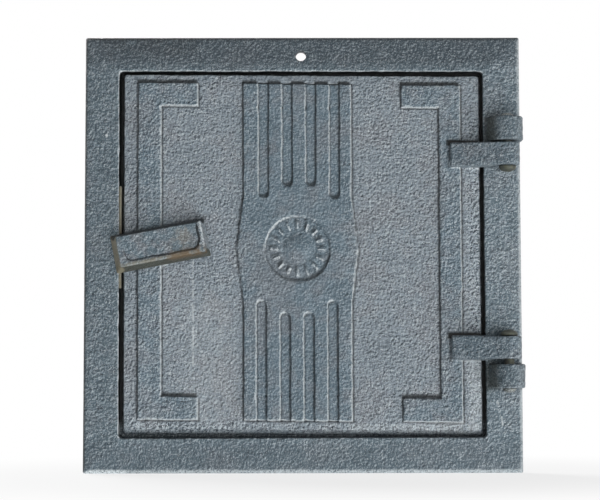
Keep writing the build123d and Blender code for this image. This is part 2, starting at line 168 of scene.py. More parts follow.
class LeafSizes(bpy.types.PropertyGroup):
    """The leaf's plate and its ornament."""
    wall: length("Wall", 4.2, "Thickness at the leaf's edge")
    field_rise: length("Field rise", 0.8, "The middle of the face above its edge")
    border: length("Border", 9.0, "Width of the sloping border")
    seat_gap: length("Seat gap", 0.3, "Leaf to its seat")
    gap_left: length("Left gap", 2.8, "Opening to the leaf's front edge on the left")
    gap_right: length("Right gap", 3.65, "Opening to the leaf's front edge on the right")
    gap_top: length("Top gap", 2.5, "Opening to the leaf's front edge at the top")
    gap_bottom: length("Bottom gap", 4.3, "Opening to the leaf's front edge at the bottom")
    draft: length("Edge draft", 1.0, "How much wider the leaf is at its back")
    draft_bottom: length("Bottom draft", 3.0, "The same at the bottom edge")
    corner: length("Corner", 1.6, "Rounding of the leaf's corners")
    edge: length("Edge", 0.3, "Rounding of the leaf's front edges")
    ragged: length("Ragged edge", 0.3, "How far the leaf's edges wander")
    fall: share("Fall", 0.006, "How far the leaf's level lines fall to the right")
    lean: share("Lean", 0.002, "How far the leaf's upright lines lean")
    pattern_fall: share("Pattern fall", 0.004, "Extra fall of the ornament to the right")
    relief: length("Relief", 1.7, "Height of the ornament above the field")
    shoulder: length("Shoulder", 0.5, "Width of the ornament's sloping side")
    # The ornament gets painted shade where it stands higher a little right of and below a point, so
    # that the shade falls above and left of it; foot is the width of the painted shadow line at its
    # foot on the lit side.
    shade_right: length("Soot right", 0.8, "Width of the soot left of the ornament")
    shade_down: length("Soot down", 2.1, "Width of the soot above the ornament")
    foot: length("Foot", 1.2, "Width of the dark line at the ornament's clean side")
    inset_top: length("Top inset", 5.2, "Leaf's top edge to the ornament")
    inset_bottom: length("Bottom inset", 5.3, "Leaf's bottom edge to the ornament")
    bracket_bar: length("Bracket bar", 14.7, "Width of the brackets' arms and left upright")
    left_inset: length("Left inset", 8.3, "Leaf's left edge to the left bracket")
    left_reach: length("Left reach", 37.3, "Left bracket's side to its arms' ends")
    right_inset: length("Right inset", 11.35, "Leaf's right edge to the right bracket")
    right_bar: length("Right bar", 13.6, "Width of the right bracket's upright")
    right_reach: length("Right reach", 36.8, "Right bracket's side to its arms' ends")
    strip_middle: length("Strip middle", -3.2, "Strip's centre line")
    strip_width: length("Strip width", 66.8, "Width of the fluted strip")
    bulge: length("Bulge", 4.1, "How far the strip swells at the medallion")
    bulge_half: length("Bulge length", 32.3, "Half of the swelling's height")
    medallion_z: length("Medallion height", 2.2, "Height of the medallion's centre")
    flute_pitch: length("Flute pitch", 14.6, "Distance between the flutes")
    flute_width: length("Flute width", 6.9, "Width of a flute")
    flute_upper: length("Upper flutes", 1.0, "Upper flutes right of their even places")
    flute_lower: length("Lower flutes", -0.4, "Lower flutes right of their even places")
    flute_depth: length("Flute depth", 1.5, "Depth of a flute")
    outer_flute: length("Outer flutes", 31.3, "Medallion's level to the outer flutes' tips")
    inner_flute: length("Inner flutes", 38.6, "Medallion's level to the inner flutes' tips")
    dish_radius: length("Dish radius", 20.3, "Radius of the medallion's dish")
    dish_depth: length("Dish depth", 1.2, "Depth of the dish")
    dome_radius: length("Dome radius", 9.3, "Radius of the dome in the dish")
    dome_rise: length("Dome rise", 1.4, "Height of the dome")
    dash_count: IntProperty(name="Dashes", description="Plain dashes round the dome", default=16)
    dash_circle: length("Dash circle", 14.6, "Radius on which the dashes stand")
    dash_length: length("Dash length", 5.0, "Length of a dash")
    dash_width: length("Dash width", 1.5, "Width of a dash")
    dash_rise: length("Dash rise", 1.1, "Height of a dash")
    boss_radius: length("Boss radius", 12.8, "Radius of the boss under the handle")
    boss_gap: length("Boss gap", 0.3, "Boss to the handle, and rear boss to the washer")
    rear_boss: length("Rear boss", 7.5, "Radius of the boss behind the leaf")
    grid: length("Grid", 0.95, "Distance between the leaf's grid lines")


class HingeSizes(bpy.types.PropertyGroup):
    """Knuckles, straps and rivets."""
    knuckle_radius: length("Knuckle radius", 7.5, "Radius of the leaf's knuckles")
    frame_knuckle: length("Frame knuckle", 9.6, "Radius of the frame's knuckles")
    leaf_height: length("Leaf knuckle height", 13.9, "Height of a leaf knuckle")
    frame_height: length("Frame knuckle height", 14.6, "Height of a frame knuckle")
    upper_gap: length("Upper gap", 1.2, "Between the upper knuckles")
    lower_gap: length("Lower gap", 3.2, "Between the lower knuckles")
    strap_root: length("Strap root", 90.9, "Place of the straps' left ends")
    root_rise: length("Root rise", 5.0, "Strap above the leaf's field at its root")
    strap_draft: turn("Strap draft", 3.0, "How the strap widens towards the leaf")
    arris_gap: length("Arris gap", 1.1, "Strap's underside to the frame's arris")
    rivet_radius: length("Rivet radius", 3.0, "Radius of a rivet's shank")
    bore_gap: length("Bore gap", 0.08, "Rivet to its bore")
    head_radius: length("Head radius", 5.25, "Radius of a domed head")
    head_height: length("Head height", 3.8, "Height of a domed head")
    peened_radius: length("Peened radius", 3.8, "Radius of a peened end")
    peened_height: length("Peened height", 2.6, "Height of a peened end")
    end_gap: length("End gap", 0.3, "Knuckle to a rivet's head")


class LatchSizes(bpy.types.PropertyGroup):
    """The handle with its shank, and what holds it behind the leaf."""
    tilt: turn("Tilt", 10.8, "How far the handle's left end hangs low")
    handle_length: length("Handle length", 58.7, "Length at the handle's back")
    handle_width: length("Handle width", 23.5, "Width at the handle's back")
    handle_offset: length("Handle offset", 3.9, "Pivot to the handle's middle")
    handle_height: length("Handle height", 8.5, "Thickness of the handle")
    handle_gap: length("Handle gap", 1.0, "Handle's back to the frame's arris")
    draft_left: length("Left draft", 3.4, "Slope of the left end")
    draft_right: length("Right draft", 2.2, "Slope of the right end")
    draft_top: length("Top draft", 1.7, "Slope of the upper side")
    draft_bottom: length("Bottom draft", 2.6, "Slope of the lower side")
    edge: length("Edge", 0.9, "Rounding of the handle's front edges")
    scoop_rim: length("Scoop rim", 2.6, "Rim left round the scoop")
    scoop_left: length("Scoop left", 3.2, "Rim left at the handle's left end")
    scoop_corner: length("Scoop corner", 5.5, "Rounding of the scoop's corners")
    scoop_depth: length("Scoop depth", 2.4, "Depth of the scoop at its lower right corner")
    shank_radius: length("Shank radius", 4.9, "Radius of the shank in the leaf")
    cam_offset: turn("Cam offset", 23.2, "Handle's left end down to the cam's nose")
    cam_thickness: length("Cam thickness", 5.0, "Thickness of the cam")
    cam_hub: length("Cam hub", 7.5, "Radius of the cam's hub")
    nose_width: length("Nose width", 9.0, "Width of the cam's nose")
    nose_reach: length("Nose reach", 15.0, "Pivot to the tip of the nose")
    washer_radius: length("Washer radius", 8.0, "Radius of the washer")
    washer_thickness: length("Washer thickness", 1.6, "Thickness of the washer")
    stud_radius: length("Stud radius", 3.0, "Radius of the threaded end")
    thread_pitch: length("Thread pitch", 1.0, "Pitch of the thread")
    nut_flats: length("Nut flats", 10.0, "Width across the nut's flats")
    nut_height: length("Nut height", 5.0, "Height of the nut")
    grid: length("Grid", 0.42, "Distance between the handle's grid lines")


class FinishColours(bpy.types.PropertyGroup):
    """Colours of the iron as it looks in plain light, and of the shade and highlights painted on it."""
    iron: colour("Iron", "63757F", "Blue-grey skin of the frame")
    iron_field: colour("Field iron", "85919A", "Lighter skin of the leaf's fields")
    iron_raised: colour("Raised iron", "677B87", "Bluer skin of the leaf's ornament")
    iron_warm: colour("Warm tint", "7D7A7C", "Brownish patches in the skin")
    # Random dark tone, pits and dull steel blotches; also the painted shade on each grain's far side
    # and on the frame's top bar, and the bottom bar's darker tone.
    iron_dark: colour("Pits", "39424A", "Dark pits")
    # Real soot in a few dark patches, and dark random patches on the frame's face, but mostly painted
    # shade: in hollows and creases, in the gap round the leaf, on walls that face away from the light,
    # and as painted shadows beside raised parts.
    soot: colour("Soot", "0E1112", "Soot in the corners at the foot of raised parts")
    # Painted highlight on each grain's lit side, and lighter random tone.
    iron_bright: colour("Bright grains", "B9C4CA", "Rubbed grains and arrises")
    # Painted highlight on arrises and on walls that face the light, painted glints and the handle's
    # bright right rim, and the real bright wear of the peened ends and of a scratch; also listed bright
    # spots and lighter patches.
    highlight_and_wear: colour("Rubbed edges", "D9E0E3", "Rubbed arrises and clean walls")
    rust: colour("Rust", "6E5A42", "Light rust on the latch and the rivets")
    grime: colour("Grime", "45432F", "Oily grime beside the knuckles and along the handle's foot")
    dust: colour("Dust", "8C8672", "Tan ash dust on the latch's end")
    olive: colour("Olive", "63644F", "Oiled and sooted steel of the rivets")
    steel: colour("Steel", "8A8781", "Dull steel of the nut and washer")
    grain: length("Grain", 1.6, "Size of the sand grain")


class StageSettings(bpy.types.PropertyGroup):
    """Camera and studio."""
    camera_place: FloatVectorProperty(
        name="Camera place", description="Where the camera stands", subtype="TRANSLATION",
        default=(-5.4 * MM, -1130.6 * MM, -85.0 * MM))
    camera_aim: FloatVectorProperty(
        name="Camera aim", description="The point that the camera looks at", subtype="TRANSLATION",
        default=(-1.7 * MM, -4.0 * MM, 2.06 * MM))
    camera_roll: turn("Camera roll", -0.089, "Turn of the picture")
    lens: FloatProperty(name="Lens", description="Focal length in millimetres", default=109.79)
    key_power: FloatProperty(name="Key power", description="Low lamp on the right, in watts",
                             default=28.0)
    fill_power: FloatProperty(name="Fill power", description="High lamp on the left, in watts",
                              default=1.0)
    back_power: FloatProperty(name="Back power", description="Lamp behind, in watts", default=24.0)
    room_light: share("Room light", 0.06, "Strength of the light from all round")
    floor_glow: share("Floor glow", 0.8, "How far the floor near the door is white by itself")
    floor_tone: colour("Floor", "F4F4F4", "Pale floor")


def soft_step(low, high, value):
    """0 below low and 1 above high, with the cubic 3t^2 - 2t^3 between them."""
    t = np.clip((value - low) / (high - low), 0, 1)
    return t * t * (3 - 2 * t)


def lumps(points, size, seed):
    """Rounded lumps between -1 and 1: random heights at the corners of a cubic lattice whose
    cells have the given size, blended inside each cell by the cubic of soft_step."""
    side = 61
    lattice = np.random.default_rng(seed).uniform(-1, 1, (side, side, side))
    cell = np.floor(points / size)
    t = soft_step(0, 1, points / size - cell)
    cell = cell.astype(int)
    total = np.zeros(points.shape[:-1])
    for corner in product((0, 1), repeat=3):
        weight = np.prod(np.where(corner, t, 1 - t), axis=-1)
        x, y, z = np.moveaxis((cell + corner) % side, -1, 0)
        total += weight * lattice[x, y, z]
    return total


def skin(points, seed, strength=1.0):
    """Sand-cast unevenness: lumps of several sizes added together."""
    return strength * sum(height * MM * lumps(points, size * MM, seed + layer)
                          for layer, (height, size) in enumerate(SKIN_LAYERS))


def normals_of(grid, wrap_rows, wrap_columns):
    """Unit normals of a grid surface: the cross product of the steps along its columns and
    its rows, each taken between the two neighbours."""
    def steps(axis, wrapped):
        if wrapped:
            return np.roll(grid, -1, axis) - np.roll(grid, 1, axis)
        return np.gradient(grid, axis=axis)
    normal = np.cross(steps(1, wrap_columns), steps(0, wrap_rows))
    size = np.linalg.norm(normal, axis=-1, keepdims=True)
    return np.where(size > 1e-14, normal / np.maximum(size, 1e-14), 0)


def roughened(grid, seed, strength=1.0, closed=False):
    """A stack of rings moved along its own normals by the cast skin."""
    return grid + normals_of(grid, closed, True) * skin(grid, seed, strength)[..., None]


def grid_faces(index, wrap_rows=False, wrap_columns=False):
    """Four-sided faces between neighbours in a grid of point numbers, closed round where it
    is wrapped."""
    if wrap_rows:
        index = np.vstack([index, index[:1]])
    if wrap_columns:
        index = np.hstack([index, index[:, :1]])
    a, b = index[:-1, :-1], index[:-1, 1:]
    c, d = index[1:, 1:], index[1:, :-1]
    return np.stack([a, b, c, d], axis=-1).reshape(-1, 4)


def ring_shell(rings, closed=False):
    """Points and faces of a stack of closed rings, whose ends are points or joined."""
    points = rings.reshape(-1, 3)
    return points, grid_faces(np.arange(len(points)).reshape(rings.shape[:2]), closed, True)


def sharpness(mesh):
    """How sharply each vertex stands out of the surface, positive on ridges and negative in
    hollows, in 1/m: four times its height over the mean of its neighbours, taken along its
    normal, over their mean squared distance, then averaged with its neighbours."""
    count = len(mesh.vertices)
    places, normals = np.zeros(3 * count), np.zeros(3 * count)
    edges = np.zeros(2 * len(mesh.edges), int)
    mesh.vertices.foreach_get("co", places)
    mesh.vertices.foreach_get("normal", normals)
    mesh.edges.foreach_get("vertices", edges)
    places, normals = places.reshape(-1, 3), normals.reshape(-1, 3)
    a, b = np.concatenate([edges.reshape(-1, 2), edges.reshape(-1, 2)[:, ::-1]]).T
    near = np.maximum(np.bincount(a, minlength=count), 1)

    def gathered(values):
        return np.bincount(a, weights=values, minlength=count) / near

    step = places[b] - places[a]
    height = -gathered(np.einsum("ij,ij->i", step, normals[a]))
    sharp = 4 * height / np.maximum(gathered(np.einsum("ij,ij->i", step, step)), 1e-9)
    return (sharp + gathered(sharp[b])) / 2


def add_values(mesh, name, values):
    """A named value at each vertex of a mesh."""
    mesh.attributes.new(name, "FLOAT", "POINT").data.foreach_set("value", values)


def joined_mesh(name, shells):
    """One mesh of several closed shells, its doubles merged and its faces turned outwards.
    Each vertex carries how raised and dusty it is, how strongly painted light and shade show on
    it and how much painted shade and darkening lies on it, where its shell says so, how sharp
    it is, and how far it faces down and right, the side from which the painted light falls."""
    points, faces, start = [], [], 0
    carried = {value_name: [] for value_name in USUAL}
    for shell_points, shell_faces, *values in shells:
        points.append(shell_points)
        faces += [tuple(corner + start for corner in face) for face in shell_faces]
        given = {**USUAL, **(values[0] if values else {})}
        for value_name, value in given.items():
            carried[value_name].append(np.broadcast_to(value, len(shell_points)))
        start += len(shell_points)
    mesh = bpy.data.meshes.new(name)
    mesh.from_pydata(np.vstack(points).tolist(), [], faces)
    for value_name, value in carried.items():
        add_values(mesh, value_name, np.concatenate(value))
    made = bmesh.new()
    made.from_mesh(mesh)
    bmesh.ops.remove_doubles(made, verts=made.verts, dist=0.002 * MM)
    bmesh.ops.recalc_face_normals(made, faces=made.faces)
    for face in made.faces:
        face.smooth = True
    made.to_mesh(mesh)
    made.free()
    add_values(mesh, "sharpness", np.clip(sharpness(mesh) / 1000, -2, 2))
    normals = np.zeros(3 * len(mesh.vertices))
    mesh.vertices.foreach_get("normal", normals)
    add_values(mesh, "facing_light", normals.reshape(-1, 3) @ np.array(LIGHT_SIDE))
    return mesh


def finished_piece(name, shells, material, body, node):
    """An object of the given shells, kept inside the CAD box, that stands for a node and
    rides on its body."""
    low, high = (np.array(corner) for corner in cad_bounds)
    shells = [(np.clip(points, low, high), *others) for points, *others in shells]
    piece = bpy.data.objects.new(name, joined_mesh(name, shells))
    bpy.context.scene.collection.objects.link(piece)
    piece.data.materials.append(material)
    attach(piece, body)
    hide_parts(node)


def resampled(outline, spacing):
    """A closed outline with evenly spaced points, measured along its length."""
    closed = np.vstack([outline, outline[:1]])
    along = np.concatenate([[0], np.cumsum(np.hypot(*np.diff(closed, axis=0).T))])
    count = max(12, int(round(along[-1] / spacing)))
    places = np.linspace(0, along[-1], count, endpoint=False)
    return np.column_stack([np.interp(places, along, closed[:, k]) for k in (0, 1)])


def softened(outline, spacing, radius):
    """An outline resampled and rounded: each point is averaged with those near it."""
    points = resampled(outline, spacing)
    reach = max(1, int(round(radius / spacing)))
    return sum(np.roll(points, k, 0) for k in range(-reach, reach + 1)) / (2 * reach + 1)


def arc(centre, radius, start, end, count):
    """Points on a circle from one angle to another."""
    angles = np.linspace(start, end, count)
    return np.column_stack([centre[0] + radius * np.cos(angles),
                            centre[1] + radius * np.sin(angles)])


def circle(centre, radius, count):
    """Evenly spaced points round a circle."""
    return arc(centre, radius, 0, 2 * pi, count + 1)[:-1]


def rounded_corner(corner, before, after, spacing):
    """An arc in place of a corner (a, b, radius) between its neighbours. Each side is cut
    back by the radius over the tangent of half the corner's angle, and a point of the arc is
    (sin((1 - t) sweep) first + sin(t sweep) last) / sin(sweep) away from its centre."""
    place, radius = corner[:2], corner[2]
    back, ahead = before[:2] - place, after[:2] - place
    back, ahead = back / np.linalg.norm(back), ahead / np.linalg.norm(ahead)
    half = acos(np.clip(back @ ahead, -1, 1)) / 2
    cut, sweep = radius / tan(half), pi - 2 * half
    centre = place + (back + ahead) / np.linalg.norm(back + ahead) * radius / sin(half)
    first, last = place + back * cut - centre, place + ahead * cut - centre
    t = np.linspace(0, 1, max(3, int(radius * sweep / spacing) + 1))[:, None]
    return centre + (np.sin((1 - t) * sweep) * first + np.sin(t * sweep) * last) / sin(sweep)


def rounded_section(corners, spacing):
    """A closed section given as (a, b, radius) corners: arcs at the corners, with evenly
    divided straight runs between them."""
    corners = [np.array(corner, float) for corner in corners]
    arcs = [rounded_corner(corner, corners[i - 1], corners[(i + 1) % len(corners)], spacing)
            for i, corner in enumerate(corners)]
    points = []
    for turned, following in zip(arcs, arcs[1:] + arcs[:1]):
        run = following[0] - turned[-1]
        steps = max(2, int(round(np.linalg.norm(run) / spacing)) + 1)
        points += [turned, turned[-1] + run * np.linspace(0, 1, steps)[1:-1, None]]
    return np.vstack(points)


def crowded(low, high, spacing, lines=(), reach=0.6 * MM, extra=2.0):
    """Places from low to high, one for each spacing, and closer near the given lines: their
    density is 1 + extra exp(-(distance / reach)^2), and its running sum is turned round."""
    fine = np.linspace(low, high, 6000)
    bells = [np.exp(-((fine - line) / reach) ** 2) for line in lines]
    density = (1 + extra * np.max(bells, axis=0) if lines else np.ones_like(fine)) / spacing
    total = np.concatenate([[0], np.cumsum((density[1:] + density[:-1]) / 2 * np.diff(fine))])
    return np.interp(np.linspace(0, total[-1], int(total[-1]) + 2), total, fine)


def placed(outline, level, along):
    """A flat ring of an outline at a level: in x and y along Z, or in x and z along Y."""
    level = np.broadcast_to(level, outline.shape[:1])
    order = [outline[:, 0], outline[:, 1], level]
    if along == "Y":
        order = [outline[:, 0], level, outline[:, 1]]
    return np.column_stack(order)


def prism(outline, low, high, edge, spacing, along, hole=None, caps=6):
    """A rounded bar of any outline, as a stack of rings. At its ends the outline is moved in
    along its normals by edge (1 - sin t) while the level moves by edge (1 - cos t). The flat
    ends run to the hole's circle, given as (centre, radius), or to the outline's middle."""
    step = np.roll(outline, -1, 0) - np.roll(outline, 1, 0)
    normal = np.column_stack([step[:, 1], -step[:, 0]])
    normal /= np.linalg.norm(normal, axis=1, keepdims=True)
    middle = outline.mean(0) if hole is None else np.array(hole[0])
    inner = np.repeat(middle[None], len(outline), 0)
    if hole is not None:
        from_middle = outline - middle
        from_middle /= np.linalg.norm(from_middle, axis=1, keepdims=True)
        inner = middle + hole[1] * from_middle
    flat = outline - normal * edge
    turns = np.linspace(0, pi / 2, 5)
    rounding = [(edge * (1 - sin(t)), edge * (1 - cos(t))) for t in turns]
    cap_shares = np.linspace(1, 0, caps + 1)[:-1]
    rings = [placed(inner + (flat - inner) * (1 - s), low, along) for s in cap_shares]
    rings += [placed(outline - normal * inset, low + rise, along) for inset, rise in rounding]
    middle_levels = np.linspace(low + edge, high - edge,
                                max(2, int((high - low) / spacing)))[1:-1]
    rings += [placed(outline, level, along) for level in middle_levels]
    rings += [placed(outline - normal * inset, high - rise, along)
              for inset, rise in rounding[::-1]]
    rings += [placed(inner + (flat - inner) * (1 - s), high, along) for s in cap_shares[::-1]]
    if hole is not None:
        bore_levels = np.linspace(high, low, max(2, int((high - low) / (2 * spacing))))[1:-1]
        rings += [placed(inner, level, along) for level in bore_levels]
    return np.array(rings)


def turned_bar(centre, profile, count, along):
    """A turned piece: each (radius, level) of the profile swept round the centre."""
    rings = [placed(np.array(centre) + (circle((0, 0), 1, count) * radius), level, along)
             for radius, level in profile]
    return np.array(rings)


def corner_mapped(u, v, radius_u, radius_v):
    """Square coordinates from -1 to 1 with their corners rounded: within the corner's share
    of each side, a square is mapped onto a disc by u sqrt(1 - v^2 / 2) and the like."""
    over_u = np.clip((np.abs(u) - (1 - radius_u)) / radius_u, 0, 1)
    over_v = np.clip((np.abs(v) - (1 - radius_v)) / radius_v, 0, 1)
    new_u = over_u * np.sqrt(1 - over_v ** 2 / 2)
    new_v = over_v * np.sqrt(1 - over_u ** 2 / 2)
    return (u - np.sign(u) * (over_u - new_u) * radius_u,
            v - np.sign(v) * (over_v - new_v) * radius_v)


def plate(across, upwards, drafts, corner, edge, spacing, back, face):
    """A cast plate: a grid whose front stands at the levels that face(x, z) gives, rounded
    over its edge, then drafted sides down to a flat back that closes at its middle. The
    drafts are (left, right, low, high), and face also gives the values that its points
    carry."""
    left, right, low, high = across[0], across[-1], upwards[0], upwards[-1]
    half_u, half_v = (right - left) / 2, (high - low) / 2
    v, u = np.meshgrid((upwards - low) / half_v - 1, (across - left) / half_u - 1, indexing="ij")
    u, v = corner_mapped(u, v, corner / half_u, corner / half_v)

    def spread(u, v, out):
        """Square coordinates carried onto the sides, each moved out by its own amount."""
        x = (left + right) / 2 + u * half_u + np.where(u > 0, u * out[1], u * out[0])
        z = (low + high) / 2 + v * half_v + np.where(v > 0, v * out[3], v * out[2])
        return x, z

    x, z = spread(u, v, (-edge,) * 4)
    front, worn = face(x, z)
    index = np.arange(front.size).reshape(front.shape)
    rim = np.concatenate([index[0, :-1], index[:-1, -1], index[-1, :0:-1], index[:0:-1, 0]])
    rim_u, rim_v, rim_y = u.ravel()[rim], v.ravel()[rim], front.ravel()[rim]
    levels = [(np.array([-edge * (1 - sin(t))] * 4), rim_y + edge * (1 - cos(t)))
              for t in np.linspace(0, pi / 2, 4)[1:]]
    start = rim_y + edge
    for s in np.linspace(0, 1, max(3, int((back - start.mean()) / spacing)))[1:]:
        levels.append((np.array(drafts) * s, start + (back - edge / 2 - start) * s))
    rings = []
    for out, y in levels:
        ring_x, ring_z = spread(rim_u, rim_v, out)
        rings.append(np.column_stack([ring_x, y, ring_z]))
    rings.append(rings[-1] + np.column_stack([-rim_u, np.ones_like(rim_u), -rim_v]) * edge / 2)
    rings[-1][:, 1] = back
    middle = np.array([(left + right) / 2, back, (low + high) / 2])
    rings += [middle + (rings[-1] - middle) * s for s in (0.99, 0.8, 0.55, 0.3, 0)]
    rest = len(rings) * len(rim)
    ring_index = np.vstack([rim, index.size + np.arange(rest).reshape(-1, len(rim))])
    points = np.vstack([np.stack([x, front, z], axis=-1).reshape(-1, 3), *rings])
    values = {name: np.concatenate([value.ravel(), np.zeros(rest)])
              for name, value in worn.items()}
    faces = np.vstack([grid_faces(index), grid_faces(ring_index, wrap_columns=True)])
    return points, faces, values


def box_inside(x, z, left, right, low, high):
    """Distance inside a rectangle's nearest side, negative outside."""
    return np.minimum(np.minimum(x - left, right - x), np.minimum(z - low, high - z))


def rounded_inside(x, z, left, right, low, high, corner):
    """Distance inside a rectangle with rounded corners, negative outside."""
    across = np.abs(x - (left + right) / 2) - (right - left) / 2 + corner
    up = np.abs(z - (low + high) / 2) - (high - low) / 2 + corner
    outside = np.hypot(np.maximum(across, 0), np.maximum(up, 0))
    return corner - outside - np.minimum(np.maximum(across, up), 0)


def capsule_inside(x, z, middle, low, high, half):
    """Distance inside an upright slot with round ends, negative outside."""
    nearest = np.clip(z, low + half, high - half)
    return half - np.hypot(x - middle, z - nearest)


class Signal:
    """A value that changes over a surface. Python's arithmetic on it adds Math nodes."""

    def __init__(self, finish, socket):
        self.finish, self.socket = finish, socket

    def math(self, operation, other, flipped=False):
        """A Math node of this value and another, or the other way round when flipped."""
        values = (other, self) if flipped else (self, other)
        return self.finish.node("ShaderNodeMath", {"operation": operation},
                                dict(enumerate(values)))

    def __add__(self, other):
        return self.math("ADD", other)

    def __radd__(self, other):
        return self.math("ADD", other)

    def __sub__(self, other):
        return self.math("SUBTRACT", other)

    def __rsub__(self, other):
        return self.math("SUBTRACT", other, True)

    def __mul__(self, other):
        return self.math("MULTIPLY", other)

    def __rmul__(self, other):
        return self.math("MULTIPLY", other)

    def step(self, low, high):
        """0 below low and 1 above high, smooth between them."""
        return self.finish.node("ShaderNodeMapRange", {"interpolation_type": "SMOOTHSTEP"},
                                {"Value": self, "From Min": low, "From Max": high})


class Finish:
    """A material under construction, with patterns in millimetres of Object coordinates."""

    def __init__(self, name):
        self.material = bpy.data.materials.new(name)
        self.material.use_nodes = True
        self.tree = self.material.node_tree
        self.tree.nodes.clear()
        place = self.node("ShaderNodeTexCoord", {}, {}, "Object")
        self.place = self.node("ShaderNodeVectorMath", {"operation": "SCALE"},
                               {0: place, "Scale": 1 / MM})

    def node(self, kind, settings, sockets, output=0):
        """Adds a node, sets its settings first and then the values or links of its sockets."""
        made = self.tree.nodes.new(kind)
        for name, value in settings.items():
            setattr(made, name, value)
        for name, value in sockets.items():
            if isinstance(value, Signal):
                self.tree.links.new(value.socket, made.inputs[name])
            else:
                made.inputs[name].default_value = value
        return Signal(self, made.outputs[output])

    def noise(self, size, detail=2.0, roughness=0.5, shift=0.0, along=(0, 0, 0)):
        """Cloudy noise with features of the given size in millimetres, from another part of
        the pattern for each shift, and moved along by a small step."""
        offset = (shift + along[0], 2 * shift + along[1], along[2] - shift)
        place = self.node("ShaderNodeVectorMath", {"operation": "ADD"},
                          {0: self.place, 1: offset})
        return self.node("ShaderNodeTexNoise", {},
                         {"Vector": place, "Scale": 1 / size, "Detail": detail,
                          "Roughness": roughness})

    def coordinate(self, axis):
        """One of the Object coordinates, in millimetres."""
        return self.node("ShaderNodeSeparateXYZ", {}, {0: self.place}, axis)

    def carried(self, name):
        """A value that the mesh carries."""
        return self.node("ShaderNodeAttribute", {"attribute_name": name}, {}, "Fac")

    def near(self, point, low, high):
        """1 within the low distance of a point given in metres, fading to 0 at the high."""
        centre = tuple(value / MM for value in point)
        away = self.node("ShaderNodeVectorMath", {"operation": "DISTANCE"},
                         {0: self.place, 1: centre}, "Value")
        return 1 - away.step(low, high)

    def stroke(self, start, end, low, high):
        """1 within the low distance of the line between two points given in metres, fading
        to 0 at the high: the share of the way along it is held between 0 and 1."""
        run = (Vector(end) - Vector(start)) / MM + Vector((0, 0, 0.05))
        beyond = self.node("ShaderNodeVectorMath", {"operation": "SUBTRACT"},
                           {0: self.place, 1: tuple(Vector(start) / MM)})
        along = self.node("ShaderNodeVectorMath", {"operation": "DOT_PRODUCT"},
                          {0: beyond, 1: tuple(run / run.length_squared)}, "Value")
        along = self.node("ShaderNodeClamp", {}, {"Value": along})
        nearest = self.node("ShaderNodeVectorMath", {"operation": "SCALE"},
                            {0: tuple(run), "Scale": along})
        away = self.node("ShaderNodeVectorMath", {"operation": "DISTANCE"},
                         {0: beyond, 1: nearest}, "Value")
        return 1 - away.step(low, high)

    def mix(self, factor, first, second):
        """A colour between two, by a factor from 0 to 1."""
        first, second = (value if isinstance(value, Signal) else (*value, 1)
                         for value in (first, second))
        return self.node("ShaderNodeMix", {"data_type": "RGBA"},
                         {0: factor, 6: first, 7: second}, 2)

    def bump(self, height, distance, strength=1.0):
        """A bumped normal from a height signal."""
        return self.node("ShaderNodeBump", {},
                         {"Height": height, "Distance": distance, "Strength": strength})

    def done(self, **sockets):
        """Joins the values to the surface and hands over the material."""
        surface = self.node("ShaderNodeBsdfPrincipled", {},
                            {name.replace("_", " "): value for name, value in sockets.items()})
        output = self.tree.nodes.new("ShaderNodeOutputMaterial")
        self.tree.links.new(surface.socket, output.inputs["Surface"])
        return self.material


def sanded(f, shade, strength):
    """A colour with sand grain laid over it, and the grain's height. Each grain is painted lit
    on the side that faces the light and painted in shade on the other: the height a little
    before the place less the height a little after it, with random tone added, and painted
    glints speckle it. Arrises that do not face away from the light, broken up by noise, and
    walls that face it get a painted highlight, the more so the larger their share of painted
    light. Hollows and walls that face away from the light get painted shade, and so does
    whatever shade and darkening the mesh carries."""
    tones = bpy.context.scene.door_colours
    size, reach = tones.grain / MM, 0.24 * tones.grain / MM
    step = [reach * part for part in LIGHT_SIDE]
    before = f.noise(size, 3.0, 0.6, along=[-part for part in step])
    after = f.noise(size, 3.0, 0.6, along=step)
    # Painted shade and highlight on each grain, with random tone.
    grain = ((before - after) * 3.4 + (f.noise(2.7, 2.0, 0.55, 19.0) - 0.5) * 1.3) * strength
    shade = f.mix(grain, shade, tones.iron_bright)
    shade = f.mix(grain * -1.35, shade, tones.iron_dark)
    # Painted glints.
    painted_glints = f.noise(0.7, 1.0, 0.5, 77.0).step(0.60, 0.72) * strength
    shade = f.mix(painted_glints * 0.7, shade, tones.highlight_and_wear)
    edge, facing_light, crisp = f.carried("sharpness"), f.carried("facing_light"), f.carried("crisp")
    # Noise that breaks up the painted highlights.
    worn = f.noise(1.1, 1.0, 0.5, 31.0)
    # Painted highlight on sharp arrises that do not face away from the light.
    highlight_and_wear = edge.step(0.25, 0.9) * worn.step(0.30, 0.52) * facing_light.step(-0.35, 0.10)
    # Painted highlight on walls that face the light.
    lit_wall_highlight = facing_light.step(0.20, 0.52) * worn.step(0.25, 0.55)
    shade = f.mix(highlight_and_wear.math("MAXIMUM", lit_wall_highlight) * crisp * 0.8, shade, tones.highlight_and_wear)
    # Painted shade in hollows and creases.
    hollow = (0 - edge).step(0.20, 0.9) * 0.85
    # Painted shade on walls that face away from the light.
    shaded = (0 - facing_light).step(0.25, 0.62) * (0.3 + crisp * 0.45)
    # All the painted shade, with the darkening that the mesh carries, goes to the dark colour.
    dark = hollow.math("MAXIMUM", shaded).math("MAXIMUM", f.carried("sooty"))
    shade = f.mix(dark, shade, tones.soot)
    return shade, f.noise(size, 3.0, 0.6)


